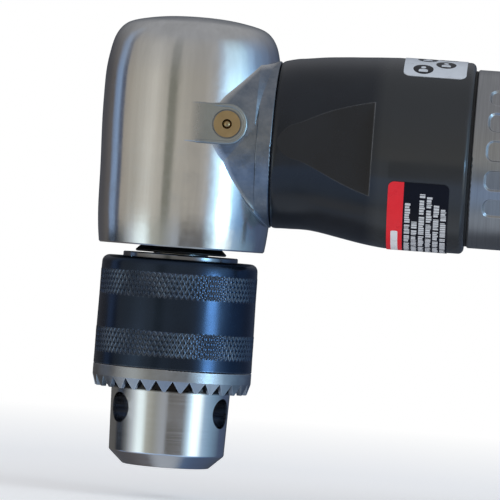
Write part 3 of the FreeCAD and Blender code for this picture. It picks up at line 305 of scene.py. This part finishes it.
def satin_coat(name, colour, rough=0.34, metallic=0.0, specks=0.35, edge=(0.16, 0.16, 0.16),
               axis="X", lines=0.0, shine=0.5, edge_wear=0.5, knurled=False, sheen_beyond=None):
    """A thin dark coat on metal: faint orange peel, dust specks, paler on worn edges; on knurls the
    groove walls are painted paler, a painted highlight.

    Past a given point along X it is painted a little paler, a painted sheen.
    """
    t = Paint(name)
    peel = t.noise(t.stretched((1.1,) * 3), 1.0, 2.0)
    broad = t.noise(t.stretched((0.10,) * 3), 1.0, 4.0)
    dust = t.noise(t.stretched((3.2,) * 3), 1.0, 1.0)
    speck = t.math("MULTIPLY", t.ramp(dust, 0.74, 0.79), specks)
    pale = tuple(min(1.0, c * 1.5 + 0.03) for c in colour)
    tint = t.mix(t.ramp(broad, 0.35, 0.7), colour, tuple(c * 1.35 for c in colour))
    tint = t.mix(speck, tint, pale)
    if sheen_beyond is not None:
        # Painted sheen: past this point along X the coat is painted paler.
        painted_sheen = t.ramp(t.xyz()[0], sheen_beyond, sheen_beyond + 3.0 * MM, 0.0, 0.85)
        tint = t.mix(painted_sheen, tint, (0.034, 0.036, 0.038))
    wear_and_highlight = t.math("MULTIPLY", t.edge_mask(), t.ramp(broad, 0.25, 0.6, edge_wear * 0.4, edge_wear))
    if knurled:
        # Painted highlight: the knurl's groove walls just below the crests are painted paler in patches.
        bare = t.node("ShaderNodeAttribute", attribute_name="bare").outputs["Fac"]
        groove_wall_highlight = t.math("MULTIPLY", t.ramp(bare, 0.02, 0.14), t.ramp(bare, 0.62, 0.28))
        patchy = t.ramp(t.noise(t.stretched((0.2, 0.2, 0.12)), 1.0, 3.0), 0.42, 0.62, 0.05, 0.60)
        wear_and_highlight = t.math("MAXIMUM", wear_and_highlight, t.math("MULTIPLY", groove_wall_highlight, patchy))
    t.set(Base_Color=t.mix(wear_and_highlight, tint, edge), Metallic=metallic,
          Roughness=t.math("ADD", t.ramp(broad, 0.3, 0.7, rough - 0.05, rough + 0.06),
                           t.math("MULTIPLY", speck, 0.3)),
          Specular_IOR_Level=shine)
    normal = t.bump(peel, 0.004 * MM)
    if lines:
        across = (lines, 0.05, 0.05) if axis == "X" else (0.05, 0.05, lines)
        normal = t.bump(t.noise(t.stretched(across), 1.0, 3.0), 0.002 * MM, 1.0, normal)
    t.set(Normal=normal)
    return t.material


def housing_silver():
    """Satin silver with a faint brushed grain round the handle; its sharp edges and pocket walls are
    painted paler, a painted highlight.
    """
    t = Paint("housing_silver")
    fine = t.noise(t.stretched((5.0, 0.08, 0.08)), 1.0, 4.0, 0.65)
    broad = t.noise(t.stretched((0.09,) * 3), 1.0, 4.0)
    colour = t.mix(t.ramp(fine, 0.3, 0.7), (0.31, 0.31, 0.31), (0.41, 0.41, 0.41))
    # Painted highlight: sharp edges and pocket walls are painted pale.
    colour = t.mix(t.math("MULTIPLY", t.edge_mask(0.25 * MM), 0.5), colour, (0.78, 0.80, 0.84))
    t.set(Base_Color=colour, Metallic=0.92, Anisotropic=0.35,
          Roughness=t.ramp(broad, 0.3, 0.7, 0.27, 0.37), Normal=t.bump(fine, 0.0015 * MM))
    return t.around("X").material


def rubber(name, colour):
    """Dull rubber with a faint grain."""
    t = Paint(name)
    fine = t.noise(t.stretched((2.5,) * 3), 1.0, 3.0)
    t.set(Base_Color=t.mix(fine, colour, tuple(c * 1.4 for c in colour)), Roughness=0.62,
          Normal=t.bump(fine, 0.02 * MM))
    return t.material


def felt():
    """The muffler's coarse fibres."""
    t = Paint("felt")
    fibre = t.noise(t.stretched((3.0,) * 3), 1.0, 5.0, 0.8)
    t.set(Base_Color=t.mix(fibre, (0.30, 0.27, 0.22), (0.62, 0.58, 0.50)), Roughness=0.95,
          Sheen_Weight=0.4, Normal=t.bump(fibre, 0.15 * MM))
    return t.material


def sticker(name, colour, shine=0.3):
    """Printed vinyl: glossy, very slightly uneven."""
    t = Paint(name)
    uneven = t.noise(t.stretched((0.4,) * 3), 1.0, 3.0)
    t.set(Base_Color=t.mix(t.ramp(uneven, 0.3, 0.7), tuple(c * 0.93 for c in colour), colour),
          Roughness=t.ramp(uneven, 0.3, 0.7, 0.26, 0.36), Specular_IOR_Level=shine,
          Normal=t.bump(uneven, 0.01 * MM))
    return t.material


def blade_composite():
    """The vanes' woven composite."""
    t = Paint("blade_composite")
    weave = t.noise(t.stretched((1.0, 4.0, 4.0)), 1.0, 3.0)
    t.set(Base_Color=t.mix(weave, (0.16, 0.10, 0.05), (0.30, 0.20, 0.11)), Roughness=0.5,
          Normal=t.bump(weave, 0.02 * MM))
    return t.material


# ---------------------------------------------------------------- pieces

def dress_piece(mesh, body, material, smooth_angle):
    """An object for a mesh, smooth but for edges sharper than the angle, riding on a body."""
    piece = bpy.data.objects.new(mesh.name, mesh)
    SCENE.collection.objects.link(piece)
    mesh.materials.append(material)
    mesh.shade_smooth()
    mesh.set_sharp_from_angle(angle=math.radians(smooth_angle))
    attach(piece, body)
    return piece


def add_mesh(name, vertices, faces, body, material, smooth_angle=35.0):
    """A piece from vertices and faces."""
    mesh = bpy.data.meshes.new(name)
    mesh.from_pydata(vertices, [], faces)
    mesh.validate()
    return dress_piece(mesh, body, material, smooth_angle)


def tube(name, rings, material):
    """A closed tube through a row of equal rings, as a piece on the housing."""
    around, vertices = len(rings[0]), [v for ring in rings for v in ring]
    last = len(vertices) - around
    faces = [(a + k, a + around + k, a + around + (k + 1) % around, a + (k + 1) % around)
             for a in range(0, last, around) for k in range(around)]
    faces += [tuple(range(around)), tuple(range(last + around - 1, last - 1, -1))]
    return add_mesh(name, vertices, faces, "housing", material)


def closed_rings(rings):
    """Faces between rings of equal vertex count that also close from last ring to first."""
    count, around = len(rings), len(rings[0])
    vertices = [v for ring in rings for v in ring]
    faces = []
    for i in range(count):
        a, b = i * around, ((i + 1) % count) * around
        faces += [(a + k, a + (k + 1) % around, b + (k + 1) % around, b + k) for k in range(around)]
    return vertices, faces


KNURL_BANDS = [(24.3 * MM, 29.5 * MM), (37.0 * MM, 42.2 * MM)]
KNURL_AROUND = 88
KNURL_PITCH = 2.15 * MM
KNURL_DEPTH = 0.16 * MM
KNURL_GROOVE = 0.26
KNURL_STEPS = 8


def knurl_drop(turn, height):
    """How far the surface lies below the crests; turn and height are counted in diamonds."""
    up, down = (turn + height) % 1.0, (turn - height) % 1.0
    near = min(up, 1 - up, down, 1 - down)
    return KNURL_DEPTH * max(0.0, 1.0 - near / KNURL_GROOVE)


def sleeve_levels(z0, z1):
    """The sleeve's section as (radius, height, foot of the knurl band or None), outside then inside."""
    r_low, r_top = 17.4 * MM, 17.1 * MM
    bore, lip, lip_depth, edge = 15.7 * MM, 13.1 * MM, 1.4 * MM, 1.6 * MM
    chamfer, edge_steps = 0.15 * MM, 6

    def outer(z):
        return r_low + (r_top - r_low) * (z - z0) / (z1 - z0)

    levels = [(outer(z0) - chamfer, z0, None), (outer(z0), z0 + chamfer, None)]
    for bottom, top in KNURL_BANDS:
        rows = round((top - bottom) / KNURL_PITCH * KNURL_STEPS * 1.5)
        levels += [(outer(bottom), bottom - gap * MM, None) for gap in (0.4, 0.12)]
        levels += [(outer(bottom), bottom + (top - bottom) * k / rows, bottom) for k in range(rows + 1)]
        levels += [(outer(top), top + gap * MM, None) for gap in (0.12, 0.4)]
    for k in range(edge_steps + 1):
        angle = math.radians(90 * k / edge_steps)
        levels.append((r_top - edge + edge * math.cos(angle), z1 - edge + edge * math.sin(angle), None))
    return levels + [(lip + 2 * chamfer, z1, None), (lip, z1 - 2 * chamfer, None),
                     (lip, z1 - lip_depth, None), (bore, z1 - lip_depth, None), (bore, z0, None)]


def knurled_sleeve(material):
    """The chuck's sleeve with two bands of diamond knurling cut into its outside."""
    low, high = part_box("chuck_sleeve")
    around = KNURL_AROUND * KNURL_STEPS
    rings, bare = [], []
    for radius, z, foot in sleeve_levels(low.z, high.z):
        ring = []
        for k in range(around):
            angle = 2 * math.pi * k / around
            drop = 0.0 if foot is None else knurl_drop(k / KNURL_STEPS, (z - foot) / KNURL_PITCH)
            ring.append(((radius - drop) * math.cos(angle), (radius - drop) * math.sin(angle), z))
            bare.append(drop / KNURL_DEPTH)
        rings.append(ring)
    vertices, faces = closed_rings(rings)
    sleeve = add_mesh("knurled_sleeve", vertices, faces, "sleeve", material, 20.0)
    # The share of groove depth, which the coat reads to paint highlights on the groove walls.
    sleeve.data.attributes.new("bare", "FLOAT", "POINT").data.foreach_set("value", bare)
    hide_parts("chuck_sleeve")


def on_case(x, angle, lift):
    """A point on the gear case; the angle is measured down from its front."""
    radius = CASE_R + lift
    return (x, -radius * math.cos(angle), AXIS_Z - radius * math.sin(angle))


def case_patch(name, outline, lift, thick, material):
    """A thin closed patch on the gear case, from an outline of (x, arc) points in metres."""
    work = bmesh.new()
    flat = [work.verts.new((x, arc, 0)) for x, arc in outline]
    work.faces.new(flat)
    span = max(a for _, a in outline) - min(a for _, a in outline)
    cuts = max(1, int(span / (0.5 * MM)))
    low = min(a for _, a in outline)
    for k in range(1, cuts):
        bmesh.ops.bisect_plane(work, geom=work.verts[:] + work.edges[:] + work.faces[:],
                               plane_co=(0, low + span * k / cuts, 0), plane_no=(0, 1, 0))
    made = bmesh.ops.extrude_face_region(work, geom=work.faces[:])
    for v in made["geom"]:
        if isinstance(v, bmesh.types.BMVert):
            v.co.z = 1.0
    for v in work.verts:
        v.co = Vector(on_case(v.co.x, v.co.y / CASE_R, lift + (thick if v.co.z > 0.5 else 0)))
    bmesh.ops.recalc_face_normals(work, faces=work.faces[:])
    mesh = bpy.data.meshes.new(name)
    work.to_mesh(mesh)
    work.free()
    return dress_piece(mesh, "housing", material, 40.0)


def rounded_rect(x0, x1, a0, a1, corners, steps=6):
    """Outline of a rectangle with its own radius at each corner: (x0,a0), (x1,a0), (x1,a1), (x0,a1)."""
    points = []
    spots = [(x0, a0, 1, 1, 180), (x1, a0, -1, 1, 270), (x1, a1, -1, -1, 0), (x0, a1, 1, -1, 90)]
    for (x, a, sx, sa, start), r in zip(spots, corners):
        if r == 0:
            points.append((x, a))
            continue
        for k in range(steps + 1):
            angle = math.radians(start + 90 * k / steps)
            points.append((x + sx * r + r * math.cos(angle), a + sa * r + r * math.sin(angle)))
    return points


def disc(x, a, radius, steps=40):
    """Outline of a disc."""
    turns = (2 * math.pi * k / steps for k in range(steps))
    return [(x + radius * math.cos(turn), a + radius * math.sin(turn)) for turn in turns]


BLOCK_FACES = ((0, 1, 2, 3), (7, 6, 5, 4), (0, 4, 5, 1), (1, 5, 6, 2), (2, 6, 7, 3), (3, 7, 4, 0))
STICKER_T = 0.15 * MM
INK_T = 0.012 * MM


def arc_at(degrees):
    """Distance round the gear case from its front, for an angle."""
    return math.radians(degrees) * CASE_R


def print_row(name, x, start, stop, height, material, seed):
    """A row of small plain blocks in word-like groups, as one piece."""
    chance = random.Random(seed)
    vertices, faces = [], []
    at = start
    while at < stop - 0.6 * MM:
        for _ in range(chance.randint(2, 9)):
            wide = chance.choice((0.24, 0.5, 0.5, 0.6)) * MM
            if at + wide > stop:
                break
            short = chance.choice((0.5, 0.5, 0.34)) * height
            low = len(vertices)
            for lift in (0, INK_T):
                for side, arc in ((-0.5 * height, at), (short, at), (short, at + wide),
                                  (-0.5 * height, at + wide)):
                    vertices.append(on_case(x + side, arc / CASE_R, STICKER_T + lift))
            faces += [tuple(low + i for i in face) for face in BLOCK_FACES]
            at += wide + 0.15 * MM
        at += 0.45 * MM
    add_mesh(name, vertices, faces, "housing", material)


def caution_sticker():
    """Red band and black field, with plain bars where a real one has text."""
    x0, x1, split = 45.0 * MM, 58.1 * MM, 48.4 * MM
    a0, a1 = arc_at(18.0), arc_at(100.0)
    corner = 1.3 * MM
    red = sticker("sticker_red", (0.84, 0.018, 0.030))
    black = sticker("sticker_black", (0.004, 0.004, 0.009), 0.18)
    ink = sticker("sticker_ink", (0.62, 0.64, 0.68))
    band = case_patch("caution_band", rounded_rect(x0, split, a0, a1, (corner, 0, 0, corner)), 0.0,
                      STICKER_T, red)
    field = case_patch("caution_field", rounded_rect(split, x1, a0, a1, (0, corner, corner, 0)), 0.0,
                       STICKER_T, black)
    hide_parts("caution_label")
    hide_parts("caution_label")
    tops = [4.8, 9.6, 2.4, 3.0, 4.9, 5.8]
    for row, top in enumerate(tops):
        print_row("caution_row_%d" % (row + 1), split + (1.0 + 1.55 * row) * MM, a0 + top * MM,
                  a1 - 1.5 * MM, 1.15 * MM, ink, row)
    middle = (x0 + split) / 2
    case_patch("caution_mark_1", rounded_rect(middle - 0.75 * MM, middle + 0.75 * MM, a0 + 13.0 * MM,
                                              a1 - 3.0 * MM, (0.3 * MM,) * 4, 3),
               STICKER_T, INK_T, sticker("sticker_white", (0.80, 0.81, 0.84)))


def safety_sticker():
    """White sticker over the top, with dark discs and a plain head and shoulders on each."""
    x0, x1 = 46.2 * MM, 59.8 * MM
    a0, a1 = arc_at(-128.0), arc_at(-52.5)
    white = sticker("sticker_pale", (0.76, 0.80, 0.86))
    dark = sticker("sticker_dark", (0.008, 0.008, 0.012))
    base = case_patch("safety_field", rounded_rect(x0, x1, a0, a1, (1.5 * MM,) * 4), 0.0, STICKER_T,
                      white)
    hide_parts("safety_label")
    radius = 2.2 * MM
    spots = [(50.4, -61.0), (55.2, -69.5), (51.1, -79.5), (55.6, -86.0), (50.6, -96.0), (55.4, -102.0),
             (52.9, -117.0)]
    for i, (x, angle) in enumerate(spots):
        x, arc = x * MM, arc_at(angle)
        case_patch("safety_disc_%d" % (i + 1), disc(x, arc, radius), STICKER_T, INK_T,
                   dark)
        case_patch("safety_head_%d" % (i + 1), disc(x, arc - 0.75 * MM, 0.55 * MM, 24),
                   STICKER_T + INK_T, INK_T, white)
        case_patch("safety_body_%d" % (i + 1),
                   rounded_rect(x - 1.0 * MM, x + 1.0 * MM, arc + 0.1 * MM, arc + 1.3 * MM,
                                (0.55 * MM, 0.55 * MM, 0.15 * MM, 0.15 * MM), 4),
                   STICKER_T + INK_T, INK_T, white)


def boss_rim(material):
    """The rounded cast rim along the edge of the grease boss."""
    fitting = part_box("grease_fitting")
    x1, z1 = ((fitting[0][i] + fitting[1][i]) / 2 for i in (0, 2))
    reach, face, thick, sides, step = 4.0 * MM, -19.08 * MM, 0.47 * MM, 12, 0.4 * MM
    path = [(x1 - 7.9 * MM + step * k, z1 - reach, 0.0, -1.0) for k in range(20)]
    path += [(x1 + reach * math.sin(a), z1 - reach * math.cos(a), math.sin(a), -math.cos(a))
             for a in (math.pi * k / 30 for k in range(31))]
    path += [(x1 - step * k, z1 + reach, 0.0, 1.0) for k in range(1, 16)]
    rings = []
    for k, (x, z, out_x, out_z) in enumerate(path):
        size = thick * min(1.0, (k + 1) / 5, (len(path) - k) / 12)
        ring = []
        for i in range(sides):
            a = 2 * math.pi * i / sides
            ring.append((x + out_x * size * math.cos(a), face + size * math.sin(a),
                         z + out_z * size * math.cos(a)))
        rings.append(ring)
    tube("boss_rim", rings, material)


def inlet_thread(material):
    """The air inlet's internal thread: a helical ridge on the wall of its bore."""
    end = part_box("inlet_bushing")[1].x
    first, last = end - 11.5 * MM, end - 0.8 * MM
    wall, ridge, pitch, steps, run_out = 5.95 * MM, 0.55 * MM, 1.41 * MM, 40, 12
    section = [(-0.45, 0.0), (-0.072, 1.0), (0.072, 1.0), (0.45, 0.0)]
    count = int((last - first) / pitch * steps)
    rings = []
    for k in range(count + 1):
        angle = 2 * math.pi * k / steps
        height = ridge * min(1.0, k / run_out, (count - k) / run_out)
        x = first + pitch * k / steps
        rings.append([(x + along * pitch, (wall - height * share) * math.cos(angle),
                       AXIS_Z + (wall - height * share) * math.sin(angle)) for along, share in section])
    tube("inlet_thread", rings, material)


def valve_coil(material):
    """The valve spring, built as a coil of wire in place of the CAD spring."""
    low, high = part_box("valve_spring")
    wire, turns, steps, sides = 0.4 * MM, 6, 32, 10
    radius = (high.x - low.x) / 2 - wire
    middle = (low.x + high.x) / 2
    length = high.z - low.z
    rings = []
    for k in range(turns * steps + 1):
        a = 2 * math.pi * k / steps
        z = low.z + wire + (length - 2 * wire) * k / (turns * steps)
        ring = []
        for i in range(sides):
            b = 2 * math.pi * i / sides
            reach = radius + wire * math.cos(b)
            ring.append((middle + reach * math.cos(a), reach * math.sin(a), z + wire * math.sin(b)))
        rings.append(ring)
    coil = tube("valve_coil", rings, material)
    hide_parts("valve_spring")
    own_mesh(coil)


# ---------------------------------------------------------------- dressing the CAD nodes

def dress():
    """Materials for every CAD node, and the pieces that replace or add to them."""
    # The chuck body carries painted shade: near black above 16.4 mm and darker inside its holes and
    # bores.
    bright = turned_metal("turned_steel", (0.72, 0.71, 0.69), "Z", 0.15, 5.0, 0.06,
                          line_depth=0.0005 * MM, anisotropic=0.5, shade_above=16.4 * MM,
                          shade_within=12.72 * MM)
    shade("chuck_body")(bright)
    ground = turned_metal("ground_steel", (0.62, 0.62, 0.61), "X", 0.26, 4.0)
    shade("inlet_bushing", "rotor", "planet_carrier", "planet_pins", "lever_pin", "cylinder_pin",
          "pinion_bearing_outer", "pinion_bearing_inner", "pinion_bearing_balls",
          "rotor_bearing_outers", "rotor_bearing_inners", "rotor_bearing_balls")(ground)
    upright = turned_metal("ground_steel_upright", (0.62, 0.62, 0.61), "Z", 0.26, 4.0)
    shade("spindle", "chuck_nut", "chuck_jaw_1", "chuck_jaw_2", "chuck_jaw_3", "gear_key",
          "spindle_bearing_outer", "spindle_bearing_inner", "spindle_bearing_balls",
          "valve_spring", "bearing_retainer")(upright)
    # The key gear's tooth edges carry a painted highlight.
    shade("chuck_gear_ring")(blasted_metal("key_gear_steel", (0.47, 0.465, 0.455), 0.36, edge=0.7))
    shade("bevel_gear", "bevel_pinion", "ring_gear", "planet_gear_1", "planet_gear_2",
          "planet_gear_3")(blasted_metal("gear_steel", (0.50, 0.50, 0.48), 0.32))
    shade("motor_cylinder", "front_end_plate", "rear_end_plate")(
        blasted_metal("cast_iron", (0.26, 0.26, 0.26), 0.5, 1.2))
    shade("grease_fitting", "grease_ball", "valve_stem", "valve_bush", "reverse_valve", "inlet_screen")(
        blasted_metal("brass", (0.58, 0.42, 0.22), 0.36, 3.0))
    shade("upper_bush")(blasted_metal("bronze", (0.55, 0.34, 0.18), 0.45))
    head = shade("angle_head")(head_metal())
    shade("spindle_collar", "chuck_screw")(
        satin_coat("collar_black", (0.008, 0.009, 0.011), 0.36, 0.2, 0.1, axis="Z", lines=4.0))
    # The case is painted paler past 40 mm along the handle, a painted sheen.
    shade("gear_case")(satin_coat("case_black", (0.0085, 0.0105, 0.0145), 0.20, 0.0, 0.12,
                                  edge=(0.30, 0.31, 0.33), lines=3.0, shine=0.45, edge_wear=0.6,
                                  sheen_beyond=40.0 * MM))
    shade("reverse_knob")(satin_coat("knob_black", (0.018, 0.018, 0.019), 0.4, 0.0))
    shade("exhaust_deflector")(satin_coat("deflector_black", (0.020, 0.021, 0.023), 0.42, 0.0))
    shade("throttle_lever")(turned_metal("lever_steel", (0.55, 0.56, 0.57), "X", 0.3, 2.0))
    shade("motor_housing")(housing_silver())
    shade("gasket_ring")(rubber("gasket_grey", (0.012, 0.011, 0.010)))
    shade("case_oring", "valve_ball")(rubber("black_rubber", (0.012, 0.012, 0.012)))
    shade("muffler_felt")(felt())
    shade("rotor_vanes")(blade_composite())
    shade("caution_label", "safety_label")(sticker("label_base", (0.6, 0.6, 0.6)))
    # The sleeve's knurl groove walls get painted highlights.
    oxide = satin_coat("black_oxide_steel", (0.024, 0.036, 0.058), 0.21, 0.9, 0.1,
                       edge=(0.22, 0.26, 0.32), axis="Z", edge_wear=0.7, knurled=True)
    knurled_sleeve(oxide)
    caution_sticker()
    safety_sticker()
    inlet_thread(ground)
    boss_rim(head)
    valve_coil(upright)


# ---------------------------------------------------------------- studio

# What stands round the object as its reflections see it: turn from the front (-Y) towards the right
# (+X) in degrees, and colour.
WALLS = [
    (-180, (0.05, 0.06, 0.08)), (-140, (0.08, 0.08, 0.09)), (-118, (0.14, 0.13, 0.13)),
    (-112, (0.24, 0.34, 0.54)), (-102, (0.27, 0.38, 0.58)), (-100.5, (0.09, 0.11, 0.17)),
    (-95, (0.09, 0.11, 0.17)), (-91, (0.40, 0.37, 0.33)), (-72, (0.46, 0.44, 0.40)),
    (-50, (0.62, 0.60, 0.56)), (-29, (0.51, 0.49, 0.45)), (-25, (0.23, 0.23, 0.20)),
    (-17, (0.23, 0.23, 0.20)), (-13, (0.44, 0.42, 0.38)), (20, (0.44, 0.42, 0.39)),
    (36, (0.48, 0.48, 0.49)), (42, (0.55, 0.70, 0.92)), (52, (0.95, 1.38, 1.75)),
    (66, (0.95, 1.45, 1.85)), (76, (0.72, 1.18, 1.62)), (86, (0.40, 0.70, 1.12)),
    (98, (0.17, 0.33, 0.60)), (116, (0.11, 0.20, 0.38)), (138, (0.07, 0.10, 0.18)),
    (180, (0.05, 0.06, 0.08)),
]
# Below the horizon in front: a bright strip, then blue. Share of the way down, and colour.
BENCH = [
    (0.0, (0.40, 0.38, 0.35)), (0.26, (0.42, 0.42, 0.42)), (0.31, (1.30, 1.70, 2.30)),
    (0.40, (1.20, 1.65, 2.40)), (0.48, (0.42, 0.60, 0.95)), (0.72, (0.34, 0.48, 0.76)),
    (0.86, (0.34, 0.46, 0.66)), (1.0, (0.10, 0.12, 0.15)),
]
CEILING = (0.40, 0.41, 0.44)
STRAIGHT_DOWN = (0.44, 0.49, 0.57)
WHITE = (1.0, 1.0, 1.0)


def band(t, value, stops):
    """A colour ramp's output, from stops of (position, colour)."""
    made = t.node("ShaderNodeValToRGB")
    while len(made.color_ramp.elements) < len(stops):
        made.color_ramp.elements.new(0.5)
    for element, (position, colour) in zip(made.color_ramp.elements, stops):
        element.position = position
        element.color = (*colour, 1)
    t.feed(made.inputs["Fac"], value)
    return made


def wall_colour(t, x, front, down):
    """The walls' colour by turn; on the right, the window leans towards the front lower down."""
    turn = t.math("ADD", t.math("DIVIDE", t.math("ARCTAN2", x, front), 2 * math.pi), 0.5)
    lean = t.math("MULTIPLY", t.ramp(x, 0.4, 0.8), t.ramp(down, -0.05, 0.12))
    turn = t.math("ADD", turn, t.math("MULTIPLY", lean, 20 / 360))
    walls = band(t, turn, [(degrees / 360 + 0.5, colour) for degrees, colour in WALLS])
    walls.color_ramp.interpolation = "EASE"
    lit = t.node("ShaderNodeVectorMath", operation="SCALE")
    t.feed(lit.inputs[0], walls.outputs["Color"])
    t.feed(lit.inputs["Scale"], t.math("ADD", 1.05, t.math("MULTIPLY", t.ramp(down, -0.08, 0.12), 0.15)))
    return lit.outputs[0]


def studio_world():
    """A soft studio as seen in reflections, and plain white behind the object."""
    world = bpy.data.worlds.new("studio")
    SCENE.world = world
    world.use_nodes = True
    t = Tree(world.node_tree)
    split = t.node("ShaderNodeSeparateXYZ")
    t.feed(split.inputs[0], t.node("ShaderNodeTexCoord").outputs["Generated"])
    x, y, z = split.outputs
    front, down = t.math("MULTIPLY", y, -1.0), t.math("MULTIPLY", z, -1.0)
    seen = t.mix(t.ramp(z, 0.10, 0.75), wall_colour(t, x, front, down), CEILING)
    under = t.math("MULTIPLY", t.ramp(down, 0.24, 0.32), t.ramp(front, 0.05, 0.35))
    seen = t.mix(under, seen, band(t, down, BENCH).outputs["Color"])
    seen = t.mix(t.ramp(down, 0.93, 0.98), seen, STRAIGHT_DOWN)
    seen = t.mix(t.node("ShaderNodeLightPath").outputs["Is Camera Ray"], seen, WHITE)
    t.feed(t.tree.nodes["Background"].inputs["Color"], seen)


JAW_REACH = 7.0 * MM


def floor():
    """A plain pale floor below the closed jaws; reflections see the studio's own colours instead."""
    bpy.ops.mesh.primitive_plane_add(size=12.0, location=(0, 0, CAD_BOX[0].z - JAW_REACH))
    plane = bpy.context.object
    plane.name = "floor"
    t = Paint("floor_paper")
    tone = t.noise(t.stretched((0.004,) * 3), 1.0, 3.0)
    t.set(Base_Color=t.mix(tone, (0.86, 0.86, 0.86), (0.90, 0.90, 0.90)), Roughness=0.8,
          Emission_Color=WHITE, Emission_Strength=0.38)
    beside = t.node("ShaderNodeVectorMath", operation="LENGTH")
    t.feed(beside.inputs[0], t.place)
    paper = t.node("ShaderNodeMixShader")
    t.feed(paper.inputs[0], t.ramp(beside.outputs["Value"], 150 * MM, 420 * MM))
    t.feed(paper.inputs[1], t.shader.outputs[0])
    t.feed(paper.inputs[2], t.glow(WHITE))
    t.surface(paper.outputs[0])
    plane.data.materials.append(t.material)
    plane.visible_glossy = False


def soft_light(name, azimuth, elevation, distance, size, power, colour):
    """An area light aimed at the middle of the head."""
    data = bpy.data.lights.new(name, "AREA")
    data.shape = "RECTANGLE"
    data.size, data.size_y = size
    data.energy = power
    data.color = colour
    light = bpy.data.objects.new(name, data)
    SCENE.collection.objects.link(light)
    a, e = math.radians(azimuth), math.radians(elevation)
    way = Vector((math.sin(a) * math.cos(e), -math.cos(a) * math.cos(e), math.sin(e)))
    target = Vector((30 * MM, 0, 60 * MM))
    light.location = target + way * distance
    light.rotation_mode = "QUATERNION"
    light.rotation_quaternion = way.to_track_quat("Z", "Y")
    light.visible_glossy = False


CARD_DISTANCE = 0.32
NOSE_CARDS = [
    (-160, (0.12, 0.12, 0.12)), (-122, (0.12, 0.12, 0.12)), (-112, (0.03, 0.035, 0.045)),
    (-98, (0.03, 0.035, 0.045)), (-84, (0.18, 0.20, 0.22)), (-68, (0.67, 0.75, 0.83)),
    (-56, (1.20, 1.40, 1.48)), (-47, (1.15, 1.35, 1.42)), (-38, (0.50, 0.52, 0.48)),
    (-24, (0.36, 0.37, 0.34)), (-8, (0.41, 0.45, 0.51)), (-2, (0.40, 0.44, 0.50)),
    (3, (0.13, 0.13, 0.13)), (18, (0.15, 0.15, 0.155)), (33, (0.17, 0.17, 0.18)),
    (43, (0.60, 0.80, 0.98)), (54, (1.35, 1.55, 1.60)), (66, (1.35, 1.50, 1.55)),
    (77, (0.40, 0.57, 0.78)), (96, (0.25, 0.40, 0.57)), (125, (0.10, 0.15, 0.24)),
]
SLEEVE_CARDS = [(46, (1.0, 1.6, 2.2)), (52, (6.0, 11.5, 18.0)), (60, (6.0, 11.5, 18.0)),
                (68, (1.0, 1.6, 2.2))]


def card_ring(name, heights, stops):
    """A ring of card seen only in the chuck's reflections; stops are (azimuth, colour)."""
    points, colours = [], []
    for azimuth, colour in stops:
        a = math.radians(azimuth)
        for z in heights:
            points.append((CARD_DISTANCE * math.sin(a), -CARD_DISTANCE * math.cos(a), z))
            colours += (*colour, 1.0)
    mesh = bpy.data.meshes.new(name)
    mesh.from_pydata(points, [], [(2 * k, 2 * k + 2, 2 * k + 3, 2 * k + 1)
                                  for k in range(len(stops) - 1)])
    mesh.attributes.new("glow", "FLOAT_COLOR", "POINT").data.foreach_set("color", colours)
    made = bpy.data.objects.new(name, mesh)
    SCENE.collection.objects.link(made)
    t = Paint(name)
    t.surface(t.glow(t.node("ShaderNodeAttribute", attribute_name="glow").outputs["Color"]))
    mesh.materials.append(t.material)
    made.visible_camera = made.visible_diffuse = made.visible_shadow = made.visible_transmission = False


def camera():
    """Level with the chuck, square to the handle, rolled a little and at long range."""
    data = bpy.data.cameras.new("camera")
    data.sensor_width, data.lens = 36.0, 288.0
    data.clip_start, data.clip_end = 0.01, 50.0
    cam = bpy.data.objects.new("camera", data)
    SCENE.collection.objects.link(cam)
    azimuth, elevation, roll = math.radians(4.0), math.radians(-0.14), math.radians(4.26)
    ahead = Vector((-math.sin(azimuth) * math.cos(elevation), math.cos(azimuth) * math.cos(elevation),
                    math.sin(elevation)))
    cam.matrix_world = (Matrix.Translation((76.3 * MM, -875.1 * MM, 50.7 * MM))
                        @ (-ahead).to_track_quat("Z", "Y").to_matrix().to_4x4()
                        @ Matrix.Rotation(roll, 4, "Z"))
    SCENE.camera = cam


SCENE.view_settings.view_transform = "Standard"
SCENE.view_settings.look = "None"
dress()
studio_world()
floor()
soft_light("window", 62, 25, 1.1, (0.30, 0.6), 1.6, (0.84, 0.92, 1.0))
soft_light("overhead", 66, 58, 1.2, (0.5, 0.8), 1.2, (1.0, 0.98, 0.95))
card_ring("nose_cards", (-0.12, 0.012), NOSE_CARDS)
card_ring("sleeve_cards", (0.015, 0.05), SLEEVE_CARDS)
camera()
